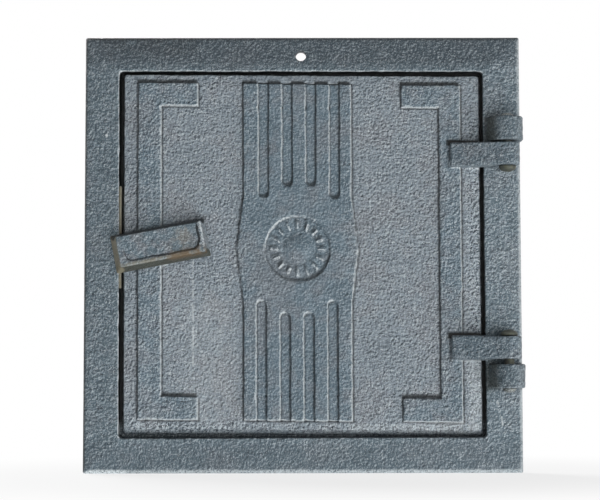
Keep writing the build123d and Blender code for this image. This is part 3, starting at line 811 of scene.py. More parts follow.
def cast_iron(name, low, high, warm_share, strength, stains=(), coarse=(), bars_from=None):
    """Sand-cast iron: one skin on the low ground and another on what is raised, with
    brownish patches, the sand's grain, and stains along the given lines, each (start, end,
    reach in mm, amount, colour). The grain's strength grows by the amount along the coarse
    lines, each (start, end, reach in mm, amount). Past the height of bars_from, above the
    middle the iron gets painted shade and below it the iron is a little darker, and on both
    the grain is weaker."""
    tones = bpy.context.scene.door_colours
    f = Finish(name)
    cloud = f.noise(26.0, 3.0, 0.55, 7.0)
    patch = f.noise(8.0, 3.0, 0.5, 53.0)
    shade = f.mix(f.carried("raised") * (0.6 + patch * 0.8), low, high)
    warm = (cloud * 0.65 + patch * 0.35).step(0.43, 0.62) * warm_share
    shade = f.mix(warm, shade, tones.iron_warm)
    shade = f.mix(cloud.step(0.50, 0.36) * 0.18, shade, tones.iron_dark)
    strength = strength * (0.55 + patch * 0.9)
    # Painted shade on the frame's top bar, and a darker tone on its bottom bar.
    if bars_from is not None:
        height = f.coordinate("Z")
        upper = height.step(bars_from / MM, bars_from / MM + 8)
        lower = (0 - height).step(bars_from / MM, bars_from / MM + 8)
        shade = f.mix(upper * 0.62 + lower * 0.28, shade, tones.iron_dark)
        strength = strength * (1 - upper * 0.25 - lower * 0.3)
    for start, end, reach, amount in coarse:
        strength = strength + f.stroke(start, end, 0.3 * reach, reach) * (patch * 2 * amount)
    shade, height = sanded(f, shade, strength)
    for start, end, reach, amount, stain in stains:
        spot = f.stroke(start, end, 0.35 * reach, reach) * patch.step(0.30, 0.50) * amount
        shade = f.mix(spot, shade, stain)
    shade = f.mix(f.carried("dusty") * 0.85, shade, tones.dust)
    return f.done(Base_Color=shade, Metallic=0.08, Roughness=0.62 - height * 0.25,
                  Specular_IOR_Level=0.3, Normal=f.bump(height, 0.9 * MM))


def latch_iron(name):
    """The latch's iron: the frame's skin, tan with dust at its left end and in its scoop, brown
    along its lower side, painted in shade along its upper one and rusty at its lower right
    corner, with a painted highlight flecked along its right rim."""
    tones = bpy.context.scene.door_colours
    k = bpy.context.scene.door_latch
    f = Finish(name)
    patch = f.noise(7.0, 3.0, 0.6, 13.0)
    left, right = (k.handle_offset + side * k.handle_length / 2 for side in (-1, 1))
    front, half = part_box("latch_handle")[0].y, k.handle_width / 2

    def corner(along, up, level=0.0):
        """A point of the handle's own frame, tilted into its place."""
        return tuple(tilted(np.array([[along, front + level, up]]))[0])

    shade = f.mix(patch.step(0.42, 0.62) * 0.5, tones.iron, tones.iron_warm)
    shade = f.mix(0.14 - patch * 0.1, shade, tones.iron_dark)
    shade, height = sanded(f, shade, 0.5 + patch * 0.3)
    deep = k.handle_height / 2
    end = f.stroke(corner(left, -half, deep), corner(left, half, deep), 4.4, 6.0)
    below = f.stroke(corner(left, -half, deep), corner(right, -half, deep), 3.6, 5.2)
    lip = f.stroke(corner(left, -half + 3 * MM), corner(right, -half + 3 * MM), 0.8, 2.6)
    rust = f.stroke(corner(right - 22 * MM, -half + 2 * MM), corner(right, -half + 3 * MM), 1.0, 6.5)
    # Painted highlight along the right rim.
    rim = f.stroke(corner(right - 3 * MM, -half + 7 * MM), corner(right - 2.6 * MM, half - 2 * MM),
                   0.4, 2.0)
    # Painted shade along the upper side.
    upper = f.stroke(corner(left, half, deep), corner(right, half, deep), 2.6, 4.4)
    shade = f.mix(lip * patch.step(0.30, 0.60) * 0.6, shade, tones.dust)
    tan = f.stroke(corner(right - 17 * MM, -4 * MM), corner(right - 14 * MM, 6 * MM), 2.0, 9.0)
    shade = f.mix(tan * patch.step(0.35, 0.60) * 0.25, shade, tones.dust)
    shade = f.mix(below * 0.8, shade, tones.grime)
    shade = f.mix(below * (0.15 + patch * 0.35), shade, tones.soot)
    shade = f.mix(end * 0.8, shade, tones.dust)
    shade = f.mix(rust * patch.step(0.38, 0.56) * 0.75, shade, tones.rust)
    speckle = f.noise(1.3, 2.0, 0.6, 61.0).step(0.42, 0.60)
    shade = f.mix(rim * speckle * 0.7, shade, tones.highlight_and_wear)
    shade = f.mix(upper * 0.9, shade, tones.soot)
    return f.done(Base_Color=shade, Metallic=0.08, Roughness=0.6 - height * 0.25,
                  Specular_IOR_Level=0.3, Normal=f.bump(height, 0.8 * MM))


def worn_steel(name, base, metallic, rusty, bright_ends=()):
    """Turned steel gone dull: soft blotches, a little rust and the bright metal of a peened
    end round each given point."""
    tones = bpy.context.scene.door_colours
    f = Finish(name)
    blotch = f.noise(2.6, 3.0, 0.6)
    fine = f.noise(0.5, 2.0, 0.6, 9.0)
    shade = f.mix(0.35 + blotch.step(0.4, 0.62) * 0.4, base, tones.iron_dark)
    shade = f.mix(blotch.step(0.52, 0.66) * rusty, shade, tones.rust)
    for place in bright_ends:
        # Bright wear of the peened end.
        highlight_and_wear = f.near(place, 2.4, 5.2) * fine.step(0.40, 0.56)
        shade = f.mix(highlight_and_wear * 0.55, shade, tones.highlight_and_wear)
    return f.done(Base_Color=shade, Metallic=metallic, Roughness=0.42 + blotch * 0.25,
                  Normal=f.bump(blotch * 0.6 + fine * 0.4, 0.12 * MM, 0.8))


def mark(start, end):
    """The two ends of a mark on the door's face, given as x and z in millimetres."""
    level = leaf_levels()[2]
    return [(x * MM, -level, z * MM) for x, z in (start, end)]


def half_opening():
    """Half the width of the frame's opening at its inner arrises."""
    return HALF_FRAME - bpy.context.scene.door_frame.bar_width


def leaf_sides():
    """The leaf's front edges: left, right, low and high."""
    sizes = bpy.context.scene.door_leaf
    half = half_opening()
    return (-half + sizes.gap_left, half - sizes.gap_right,
            -half + sizes.gap_bottom, half - sizes.gap_top)


def leaf_levels():
    """How far the leaf's back, edge and field stand in front of the wall plane."""
    sizes = bpy.context.scene.door_leaf
    back = bpy.context.scene.door_frame.ledge_height + sizes.seat_gap
    edge = back + sizes.wall
    return back, edge, edge + sizes.field_rise


def knuckle_lows():
    """Lower ends of the leaf's and the frame's knuckles, from the rivets' own boxes."""
    sizes = bpy.context.scene.door_hinges
    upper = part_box("upper_hinge_rivet")[0].z + sizes.head_height + sizes.end_gap
    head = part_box("lower_hinge_rivet")[1].z - sizes.head_height - sizes.end_gap
    lower = head - sizes.leaf_height
    return {"leaf": (upper, lower),
            "frame": (upper + sizes.leaf_height + sizes.upper_gap,
                      lower - sizes.lower_gap - sizes.frame_height)}


def face_slope():
    """Rise of the frame's face for each unit in from its outer edge."""
    sizes = bpy.context.scene.door_frame
    return (sizes.arris_height - sizes.outer_edge) / sizes.bar_width


def face_level(inset):
    """Y of the frame's sloping face at a distance in from the outer edge."""
    return -(bpy.context.scene.door_frame.outer_edge + face_slope() * inset)


def knuckle_outline(x, z):
    """Painted shadow on the right bar in a narrow line round each of the frame's knuckles."""
    h = bpy.context.scene.door_hinges
    soot = np.zeros_like(x)
    for low in knuckle_lows()["frame"]:
        out = -box_inside(x, z, half_opening(), HINGE.x + 2 * h.frame_knuckle, low,
                          low + h.frame_height)
        soot = np.maximum(soot, soft_step(1.7 * MM, 0.4 * MM, out))
    return 0.6 * soot


def frame_section():
    """The section of a bar and its collar, as insets from the outer edge and levels: up the
    edge, over the face to the arris, down into the seat, round the collar and back along
    the hollow behind the face."""
    s = bpy.context.scene.door_frame
    behind = s.casting_wall * hypot(1, face_slope())
    hollow = s.bar_width - s.wall_root
    collar_in = s.bar_width + s.ledge_width
    collar_out = collar_in - s.collar_wall
    worn = 0.6 * MM
    return rounded_section([
        (0, 0, worn), (0, -s.outer_edge, s.nose_radius),
        (s.bar_width, -s.arris_height, s.arris_radius),
        (s.bar_width, -s.ledge_height, worn), (collar_in, -s.ledge_height, worn),
        (collar_in, COLLAR_BACK, worn), (collar_out, COLLAR_BACK, worn),
        (collar_out, 0, worn), (hollow, 0, worn), (hollow, face_level(hollow) + behind, 2 * worn),
        (s.rim_land, face_level(s.rim_land) + behind, worn), (s.rim_land, 0, worn)], s.grid)


def carried_round(inset, level):
    """A grid of the frame's section carried round a rounded square. A section point at inset
    d follows a square of half side (half frame - d), whose corner radius goes evenly from
    the outer corner's to the rebate's."""
    s = bpy.context.scene.door_frame
    corner = s.outer_corner + (s.rebate_corner - s.outer_corner) * np.clip(
        inset / s.bar_width, 0, 1)
    half = HALF_FRAME - inset
    straight = np.linspace(-1, 1, int(2 * half_opening() / s.grid) + 1)
    bend = np.linspace(-pi / 4, pi / 4, 7)[1:-1]
    rings = []
    for quarter in range(4):
        x = (half - corner)[None, :] * straight[:, None]
        z = np.broadcast_to(-half, x.shape)
        turned_x = (half - corner) + corner * np.sin(bend + pi / 4)[:, None]
        turned_z = -(half - corner) - corner * np.cos(bend + pi / 4)[:, None]
        x, z = np.vstack([x, turned_x]), np.vstack([z, turned_z])
        c, d = round(cos(quarter * pi / 2)), round(sin(quarter * pi / 2))
        rings.append(np.stack([c * x - d * z, np.broadcast_to(level, x.shape),
                               d * x + c * z], axis=-1))
    return np.vstack(rings)


def out_of_place(grid, inset, level):
    """How far left and up the sides of the opening stand off their even places: each by its
    slip and, towards its ends, by its warp. It fades out towards the frame's outer edge."""
    s = bpy.context.scene.door_frame
    pull = soft_step(0, s.bar_width, inset) * soft_step(-s.ledge_height, -2 * s.ledge_height, level)
    across, up = (grid[..., axis] / half_opening() for axis in (0, 2))
    at_side, at_end = (soft_step(0.5, 1, np.abs(part)) * pull for part in (across, up))
    leftward = np.where(across < 0, s.slip_left + s.warp_left * np.clip(up, -1, 1),
                        s.slip_right + s.warp_right * np.clip(up, -1, 1))
    level_fall = s.warp_level * np.clip(across, -1, 1)
    upward = np.where(up > 0, s.slip_top - level_fall, level_fall - s.slip_bottom)
    return leftward * at_side, upward * at_end


def bars_shell():
    """The four bars with their collar, with a cast skin on the face, a ragged arris and an
    opening a little out of square. Painted shade lies in the gap round the leaf, less at its
    low end, and in a line round the frame's knuckles. Painted light and shade are stronger on
    the left bar."""
    s = bpy.context.scene.door_frame
    inset, level = frame_section().T
    grid = carried_round(inset, level)
    normal = normals_of(grid, True, True)
    on_face = soft_step(0.3 * MM, -2 * MM, grid[..., 1])
    on_arris = np.exp(-((inset - s.bar_width) / (1.5 * MM)) ** 2) * on_face
    wander = s.ragged * lumps(grid, 3.0 * MM, 17) * on_arris
    calm = soft_step(0, 4 * MM, inset)
    moved = skin(grid, 3, 0.8) * (0.2 + 0.8 * on_face * calm) + wander
    land = np.abs(grid[..., 1]) < 0.01 * MM
    across, up = (grid[..., axis] / half_opening() for axis in (0, 2))
    leftward, upward = out_of_place(grid, inset, level)
    grid = grid + normal * np.where(land, 0, moved)[..., None]
    grid[..., 0] -= leftward
    grid[..., 2] += upward
    grid[..., 0::2] = np.clip(grid[..., 0::2], -HALF_FRAME, HALF_FRAME)
    # Painted shade in the gap round the leaf, half as strong at its low end.
    gap_shade = soft_step(s.bar_width - 0.4 * MM, s.bar_width, inset)
    gap_shade = gap_shade * soft_step(-s.arris_height + 0.7 * MM, -s.arris_height + 1.2 * MM, level)
    gap_shade = np.broadcast_to(gap_shade * (level < 0), grid.shape[:2])
    gap_shade = (gap_shade * (1 - 0.5 * soft_step(0.90, 0.94, -up))).ravel()
    # Painted light and shade are stronger on the left bar.
    crisp = (1 - gap_shade) * (0.85 + 0.6 * soft_step(0.95, 1.0, -across).ravel())
    front = level < face_level(inset) + s.casting_wall / 2
    # Painted shadow round the frame's knuckles, on the face only.
    outline = (knuckle_outline(grid[..., 0], grid[..., 2]) * front).ravel()
    return (*ring_shell(grid, closed=True),
            {"raised": 1 - gap_shade, "crisp": crisp, "sooty": np.maximum(gap_shade, outline)})


def drilled(shell, centre, radius, low, high):
    """A shell with a round hole cut along Y by Blender's exact boolean."""
    bars = bpy.data.objects.new("bars", joined_mesh("bars", [shell]))
    drill_rings = turned_bar(centre, [(0, low), (radius, low), (radius, high), (0, high)], 40, "Y")
    drill = bpy.data.objects.new("drill", joined_mesh("drill", [ring_shell(drill_rings)]))
    for made in (bars, drill):
        bpy.context.scene.collection.objects.link(made)
    cut = bars.modifiers.new("hole", "BOOLEAN")
    cut.object, cut.operation, cut.solver = drill, "DIFFERENCE", "EXACT"
    bpy.context.view_layer.update()
    done = bars.evaluated_get(bpy.context.evaluated_depsgraph_get()).to_mesh()
    points = np.zeros(len(done.vertices) * 3)
    done.vertices.foreach_get("co", points)
    faces = [tuple(face.vertices) for face in done.polygons]
    kept = {name: np.zeros(len(done.vertices)) for name in USUAL}
    for name, values in kept.items():
        done.attributes[name].data.foreach_get("value", values)
    for made in (bars, drill):
        bpy.data.objects.remove(made)
    return points.reshape(-1, 3), faces, kept


def barrel_outline(radius, root, until, count):
    """A knuckle's outline in x and y: straight from the first root point to where it touches
    the barrel, round the barrel's front to the angle until, and along the other root
    points."""
    along_x, along_y = root[0][0] - HINGE.x, root[0][1] - HINGE.y
    touch = atan2(along_y, along_x) + acos(min(1, radius / hypot(along_x, along_y)))
    touch = touch - 2 * pi if touch > 0 else touch
    barrel = arc((HINGE.x, HINGE.y), radius, touch, until, count)
    return softened(np.vstack([root[:1], barrel, root[1:]]), 0.6 * MM, 0.9 * MM)


def knuckle_rings(outline, low, height, bore, caps):
    """A knuckle's rounded bar with the rivet's bore in it."""
    return prism(outline, low, low + height, 1.1 * MM, 0.9 * MM, "Z",
                 hole=((HINGE.x, HINGE.y), bore), caps=caps)


def knuckle_shell(rings, seed):
    """A knuckle's roughened shell and what its iron carries."""
    return (*ring_shell(roughened(rings, seed, 0.9, closed=True), closed=True), KNUCKLE_FINISH)


def frame_knuckle(low, seed):
    """A knuckle on the right bar, ramped from the arris up to its barrel."""
    s, h = bpy.context.scene.door_frame, bpy.context.scene.door_hinges
    arris_x = half_opening() + s.arris_radius
    root = [(arris_x, -s.arris_height + SUNK),
            (HINGE.x + h.frame_knuckle, -s.outer_edge + s.casting_wall / 2),
            (arris_x, -s.arris_height + s.casting_wall / 2)]
    outline = barrel_outline(h.frame_knuckle, root, 0, 40)
    rings = knuckle_rings(outline, low, h.frame_height, h.rivet_radius + 0.02 * MM, 8)
    return knuckle_shell(rings, seed)


def box_bar(left, right, low, high, front, back, edge):
    """A small bar of rectangular outline along Y."""
    outline = softened(np.array([(left, low), (right, low), (right, high), (left, high)]),
                       0.5 * MM, edge)
    return prism(outline, front, back, edge, 0.8 * MM, "Y")


def frame_stains(lows):
    """The frame's stains: grime left of its knuckles, and listed marks: bright spots on the
    arrises and corners, and dark patches on the top bar and the left one."""
    tones = bpy.context.scene.door_colours
    h = bpy.context.scene.door_hinges
    flank = HINGE.x - bpy.context.scene.door_frame.arris_height
    stains = [((flank, HINGE.y, low), (flank, HINGE.y, low + h.frame_height), 9.5, 0.4,
               tones.grime) for low in lows]
    return stains + [
        (*mark(start, end), reach, amount, shade) for start, end, reach, amount, shade in (
            ((-121.2, 72.9), (-121.2, 72.9), 1.2, 1.0, tones.highlight_and_wear),
            ((118.6, -91.6), (119.4, -94.0), 1.2, 0.8, tones.highlight_and_wear),
            ((121.4, -101.0), (122.2, -105.7), 1.1, 0.8, tones.highlight_and_wear),
            ((-118.0, 132.0), (-72.0, 130.0), 11.0, 0.3, tones.soot),
            ((-131.8, 126.0), (-130.6, 128.5), 1.0, 0.5, tones.highlight_and_wear),
            ((-127.5, 130.6), (-125.8, 131.4), 1.0, 0.5, tones.highlight_and_wear),
            ((-132.2, -111.1), (-132.2, -111.1), 1.8, 0.9, tones.soot))]


class STOVE_OT_frame_casting(bpy.types.Operator):
    """Build the frame: four sloping bars with their collar, knuckles, catch lug and rib"""
    bl_idname = "stove_door.frame_casting"
    bl_label = "Frame casting"

    def execute(self, context):
        s = context.scene.door_frame
        half = half_opening()
        hole = (s.hole_x, half + s.hole_rise)
        lows = knuckle_lows()["frame"]
        bars = drilled(bars_shell(), hole, s.hole_radius, -2 * s.arris_height, COLLAR_BACK)
        ring = circle(hole, s.boss_radius, 48)
        boss = prism(ring, -s.outer_edge, 0, 0.5 * MM, MM, "Y", hole=(hole, s.hole_radius))
        collar = half - s.ledge_width
        lug = box_bar(-collar - SUNK, -collar + s.lug_reach, PIVOT.z, PIVOT.z + s.lug_length,
                      -s.ledge_height, s.casting_wall, 0.9 * MM)
        rib = box_bar(-half - SUNK, -half + s.rib_width, PIVOT.z - s.rib_below,
                      PIVOT.z + s.rib_above, -s.ledge_height - s.rib_depth,
                      -s.ledge_height + SUNK, 0.3 * MM)
        shells = [frame_knuckle(low, 20 + i) for i, low in enumerate(lows)]
        shells += [ring_shell(boss, closed=True), ring_shell(roughened(lug, 41)),
                   (*ring_shell(rib), {"dusty": 1.0})]
        tones = context.scene.door_colours
        # The frame's low colour is painted shade, laid in the gap round the leaf; it also darkens the
        # face in random patches.
        iron = cast_iron("cast_iron_frame", tones.soot, tones.iron, 0.25, 0.85,
                         frame_stains(lows), bars_from=half)
        finished_piece("frame_casting", [bars, *shells], iron, "frame", "frame")
        return {"FINISHED"}


def bracket_inside(u, v, outer, bar, reach, side, low, high, arm):
    """Distance inside a square bracket, the union of its upright and its two arms."""
    far, near = outer + side * reach, outer + side * bar
    upright = box_inside(u, v, min(outer, near), max(outer, near), low, high)
    lower = box_inside(u, v, min(outer, far), max(outer, far), low, low + arm)
    upper = box_inside(u, v, min(outer, far), max(outer, far), high - arm, high)
    return np.maximum(upright, np.maximum(lower, upper))


def out_of_square(u, v):
    """The leaf's pattern coordinates leant and dropped into place."""
    s = bpy.context.scene.door_leaf
    return u - s.lean * v, v - s.fall * u


def shouldered(distance, width):
    """The soft step over a sloping side of the given width, by the distance inside it."""
    return soft_step(-0.45 * width, 1.15 * width, distance)


def flutes_inside(across, above, place, beyond):
    """Distance inside the upper and the lower flute at one of the flutes' places. Each runs
    from its tip to far beyond the strip's end."""
    s = bpy.context.scene.door_leaf
    middle, half = place * s.flute_pitch, s.flute_width / 2
    tip = s.outer_flute if abs(place) > 1 else s.inner_flute
    upper = capsule_inside(across, above, middle + s.flute_upper, tip, beyond, half)
    lower = capsule_inside(across, above, middle + s.flute_lower, -beyond, -tip, half)
    return np.maximum(upper, lower)


def with_medallion(rise, across, above, ragged):
    """The ornament's height with the medallion in it: a dish, a dome that falls with the
    square of the radius, and dashes whose places are the round shares of a turn."""
    s = bpy.context.scene.door_leaf
    radius = np.hypot(across, above)
    rise = rise - s.dish_depth * shouldered(s.dish_radius - radius + ragged, s.shoulder)
    rise = rise + s.dome_rise * np.clip(1 - (radius / s.dome_radius) ** 2, 0, 1)
    around = np.arctan2(above, across) * s.dash_count / (2 * pi)
    beside = (around - np.round(around)) * 2 * pi / s.dash_count * radius
    dash = np.minimum(s.dash_length / 2 - np.abs(radius - s.dash_circle),
                      s.dash_width / 2 - np.abs(beside))
    return rise + s.dash_rise * soft_step(-0.4 * MM, 0.35 * MM, dash + ragged)


def ornament(u, v, ragged):
    """How far the ornament stands above the leaf's field, and how raised the iron is there:
    brackets and strip stand up by the relief height times the soft step of the distance
    inside their outlines, the flutes go down by their depth, and the medallion follows."""
    s = bpy.context.scene.door_leaf
    left, right, low, high = leaf_sides()
    v = v + s.pattern_fall * u
    bottom, top = low + s.inset_bottom, high - s.inset_top
    left_bracket = bracket_inside(u, v, left + s.left_inset, s.bracket_bar, s.left_reach, 1,
                                  bottom, top, s.bracket_bar)
    right_bracket = bracket_inside(u, v, right - s.right_inset, s.right_bar, s.right_reach, -1,
                                   bottom, top, s.bracket_bar)
    above = v - s.medallion_z
    across = u - s.strip_middle
    swell = s.bulge * np.clip(1 - np.abs(above) / s.bulge_half, 0, 1)
    strip = np.minimum(s.strip_width / 2 + swell - np.abs(across),
                       np.minimum(v - bottom, top - v))
    raised = np.maximum(np.maximum(left_bracket, right_bracket), strip)
    level = shouldered(raised + ragged, s.shoulder)
    rise = s.relief * level
    for place in FLUTE_PLACES:
        flute = np.minimum(flutes_inside(across, above, place, high - low), strip + s.shoulder)
        rise = rise - s.flute_depth * shouldered(flute + ragged, 0.65 * MM)
    return with_medallion(rise, across, above, ragged), level


def handle_contact_shadow(x, z, ragged):
    """Painted shadow on the leaf in a narrow band along the upper side of the resting handle."""
    k = bpy.context.scene.door_latch
    c, s = cos(k.tilt), sin(k.tilt)
    along = c * (x - PIVOT.x) + s * (z - PIVOT.z) - k.handle_offset
    above = c * (z - PIVOT.z) - s * (x - PIVOT.x) - k.handle_width / 2
    band = soft_step(-0.5 * MM, 0.2 * MM, above + ragged)
    band = band * soft_step(1.5 * MM, 0.9 * MM, above + ragged)
    return 0.6 * band * soft_step(1.5 * MM, 0, np.abs(along) - k.handle_length / 2)


def leaf_face(u, v):
    """Y of the leaf's front in the pattern's coordinates, and what its iron carries: the
    field slopes to its edges, with the ornament, the latch's boss and a flare round the
    straps on it. Painted shade lies where the ornament a little down and right stands higher,
    with a thin painted shadow line at its foot on the other side; painted shadows lie along
    the handle's upper side and above and left of the straps."""
    s = bpy.context.scene.door_leaf
    h = bpy.context.scene.door_hinges
    left, right, low, high = leaf_sides()
    edge_level = leaf_levels()[1]
    x, z = out_of_square(u, v)
    points = np.stack([x, np.zeros_like(x), z], axis=-1)
    ragged = 0.16 * MM * lumps(points, 3.3 * MM, 71) + 0.12 * MM * lumps(points, 9 * MM, 72)
    from_edge = box_inside(u, v, left, right, low, high)
    rise = edge_level + s.field_rise * soft_step(-0.25 * s.border, 1.1 * s.border, from_edge)
    pattern, level = ornament(u, v, ragged)
    # Painted shade above and left of the ornament, and a painted shadow line at its foot on its lit
    # side.
    beside = ornament(u + s.shade_right, v - s.shade_down, ragged)[0]
    across = ornament(u - s.foot, v + s.foot, ragged)[0]
    foot = np.clip((across - pattern) / s.relief, 0, 1) * np.clip(1 - pattern / s.relief, 0, 1) ** 2
    sooty = np.maximum(0.85 * np.clip((beside - pattern) / s.relief, 0, 1), 0.7 * foot)
    sooty = np.maximum(sooty, handle_contact_shadow(x, z, ragged))
    rise = rise + pattern
    boss_level = (bpy.context.scene.door_frame.arris_height
                  + bpy.context.scene.door_latch.handle_gap - s.boss_gap)
    boss = soft_step(-0.3 * MM, 1.0 * MM, s.boss_radius - np.hypot(x - PIVOT.x, z - PIVOT.z))
    rise = rise + (boss_level - 0.15 * MM - rise) * boss
    for strap_low in knuckle_lows()["leaf"]:
        out = -box_inside(x, z, h.strap_root, right + 5 * MM, strap_low - 0.4 * MM,
                          strap_low + h.leaf_height + 0.4 * MM)
        rise = rise + 1.0 * MM * np.clip(1 - out / (1.6 * MM), 0, 1) ** 2
        # Painted shadow above each strap and left of its root.
        over = (z > strap_low + h.leaf_height - MM) * soft_step(2.9 * MM, 1.5 * MM, out + ragged)
        left_of = (x < h.strap_root) * soft_step(1.6 * MM, 0.3 * MM, out + ragged) * 0.8
        sooty = np.maximum(sooty, np.maximum(over, left_of))
    rough = skin(points, 5) * (1 - boss)
    return -(rise + rough), {"raised": level, "sooty": sooty, "crisp": np.ones_like(level)}


def leaf_plate():
    """The leaf's plate, with its grid lines crowded at the ornament's edges."""
    s = bpy.context.scene.door_leaf
    left, right, low, high = leaf_sides()
    uprights = [left + s.left_inset, left + s.left_inset + s.bracket_bar,
                left + s.left_inset + s.left_reach, right - s.right_inset,
                right - s.right_inset - s.right_bar, right - s.right_inset - s.right_reach,
                s.strip_middle - s.strip_width / 2, s.strip_middle + s.strip_width / 2]
    uprights += [s.strip_middle + place * s.flute_pitch + side * s.flute_width / 2 + shift
                 for place, side, shift in product(FLUTE_PLACES, (-1, 1),
                                                   (s.flute_upper, s.flute_lower))]
    bottom, top = low + s.inset_bottom, high - s.inset_top
    levels = [bottom, bottom + s.bracket_bar, top - s.bracket_bar, top]
    drafts = (s.draft, s.draft, s.draft_bottom, s.draft)
    points, faces, values = plate(
        crowded(left, right, s.grid, uprights), crowded(low, high, s.grid, levels), drafts,
        s.corner, s.edge, s.grid, -leaf_levels()[0], leaf_face)
    near_rim = soft_step(3 * MM, 0, box_inside(points[:, 0], points[:, 2], *leaf_sides()))
    u = points[:, 0] + s.ragged * near_rim * lumps(points, 3.1 * MM, 73)
    v = points[:, 2] + s.ragged * near_rim * lumps(points, 2.7 * MM, 74)
    points[:, 0], points[:, 2] = out_of_square(u, v)
    return points, faces, values


def strap(low, seed):
    """A strap from the leaf's field to its knuckle, widened towards the leaf by its draft."""
    h, s = bpy.context.scene.door_hinges, bpy.context.scene.door_leaf
    edge_level, field_level = leaf_levels()[1:]
    under = -bpy.context.scene.door_frame.arris_height - h.arris_gap
    right = leaf_sides()[1]
    root = [(h.strap_root, -field_level - h.root_rise), (right + s.draft, under),
            (right - s.wall, -edge_level + SUNK), (h.strap_root, -field_level + SUNK)]
    meets = pi - asin((under - HINGE.y) / h.knuckle_radius)
    outline = barrel_outline(h.knuckle_radius, root, meets, 50)
    rings = knuckle_rings(outline, low, h.leaf_height, h.rivet_radius + h.bore_gap, 10)
    middle = low + h.leaf_height / 2
    depth = rings[..., 1] - (HINGE.y - h.knuckle_radius)
    fade = soft_step(HINGE.x - h.head_radius, half_opening(), rings[..., 0])
    widening = tan(h.strap_draft) * depth * fade / (h.leaf_height / 2)
    rings[..., 2] = middle + (rings[..., 2] - middle) * (1 + widening)
    return knuckle_shell(rings, seed)


class STOVE_OT_leaf_casting(bpy.types.Operator):
    """Build the leaf: its plate with all the ornament, the two straps and the rear boss"""
    bl_idname = "stove_door.leaf_casting"
    bl_label = "Leaf casting"

    def execute(self, context):
        s, k = context.scene.door_leaf, context.scene.door_latch
        back = leaf_levels()[0]
        rear = cam_front() - k.washer_thickness - s.boss_gap
        boss = prism(circle((PIVOT.x, PIVOT.z), s.rear_boss, 60), -back - SUNK, rear,
                     0.6 * MM, 0.9 * MM, "Y",
                     hole=((PIVOT.x, PIVOT.z), k.shank_radius + SHANK_PLAY))
        straps = [strap(low, 60 + i) for i, low in enumerate(knuckle_lows()["leaf"])]
        tones = context.scene.door_colours
        # A scratch, lighter patches along the leaf's right and bottom borders, and a broad lighter
        # patch on the field low on the left.
        stains = [(*mark(start, end), reach, amount, tones.highlight_and_wear) for start, end, reach, amount in (
            ((-67.5, -5.6), (-67.3, -68.8), 0.9, 0.4),
            ((106.8, -66.0), (106.4, -104.0), 7.0, 0.2),
            ((104.0, -108.0), (30.0, -108.0), 5.0, 0.16),
            ((-60.0, -40.0), (-56.0, -90.0), 22.0, 0.10))]
        coarse = [(*mark((107.0, 78.0), (106.4, -102.0)), 8.0, 0.6),
                  (*mark((-102.0, -107.0), (104.0, -108.5)), 5.0, 0.6),
                  (*mark((-3.2, -107.0), (-3.2, 109.0)), 48.0, -0.4)]
        iron = cast_iron("cast_iron_leaf", tones.iron_field, tones.iron_raised, 0.4, 0.95,
                         stains, coarse)
        finished_piece("leaf_casting", [leaf_plate(), *straps, ring_shell(boss, closed=True)],
                       iron, "door", "door_leaf")
        return {"FINISHED"}


def cam_front():
    """Y of the cam's front, just behind the catch lug."""
    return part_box("latch_cam")[0].y


def domed_profile(shank, radius, height, seat, outward):
    """Radius and level from the shank, over the seat's rim and up a shallow dome."""
    rim = height / 4
    turns = np.linspace(0, pi / 2, 12)
    dome = [(radius * cos(t), seat + outward * (rim + (height - rim) * sin(t))) for t in turns]
    return [(shank, seat), (radius - 0.25 * MM, seat), (radius, seat + outward * 0.25 * MM), *dome]


class STOVE_OT_hinge_rivets(bpy.types.Operator):
    """Build the two hinge rivets, each with a domed head and a peened end"""
    bl_idname = "stove_door.hinge_rivets"
    bl_label = "Hinge rivets"

    def execute(self, context):
        h = context.scene.door_hinges
        lows = knuckle_lows()
        seats = {"upper_hinge_rivet": (lows["leaf"][0] - h.end_gap,
                                       lows["frame"][0] + h.frame_height),
                 "lower_hinge_rivet": (lows["leaf"][1] + h.leaf_height + h.end_gap,
                                       lows["frame"][1])}
        ends = [Vector((HINGE.x, HINGE.y - 2 * MM, peened + (2 if peened > head else -2) * MM))
                for head, peened in seats.values()]
        steel = worn_steel("rivet_steel", bpy.context.scene.door_colours.olive, 0.35, 0.25, ends)
        for number, (node, (head, peened)) in enumerate(seats.items()):
            outward = 1 if head > peened else -1
            profile = domed_profile(h.rivet_radius, h.head_radius, h.head_height, head, outward)
            shank = [(h.rivet_radius, level) for level in np.linspace(head, peened, 14)[1:-1]]
            far = domed_profile(h.rivet_radius, h.peened_radius, h.peened_height, peened,
                                -outward)
            rings = turned_bar((HINGE.x, HINGE.y), profile[::-1] + shank + far, 64, "Z")
            dents = 0.16 * MM * lumps(rings, 1.9 * MM, 80 + number)
            at_peened = soft_step(0, MM, (rings[..., 2] - peened) * -outward)
            normal = normals_of(rings, False, True)
            rings = rings + normal * (dents * (0.25 + 0.75 * at_peened))[..., None]
            finished_piece(node.replace("hinge_rivet", "rivet"), [ring_shell(rings)], steel,
                           "frame", node)
        return {"FINISHED"}


def tilted(points):
    """Points of the latch's own frame turned by the handle's tilt about its pivot."""
    angle = -bpy.context.scene.door_latch.tilt
    place = Matrix.Translation((PIVOT.x, 0, PIVOT.z)) @ Matrix.Rotation(angle, 4, "Y")
    m = np.array(place)
    return points @ m[:3, :3].T + m[:3, 3]


def handle_sides():
    """The handle's front edges in its own frame: left, right, low and high."""
    k = bpy.context.scene.door_latch
    return (k.handle_offset - k.handle_length / 2 + k.draft_left,
            k.handle_offset + k.handle_length / 2 - k.draft_right,
            -k.handle_width / 2 + k.draft_bottom, k.handle_width / 2 - k.draft_top)


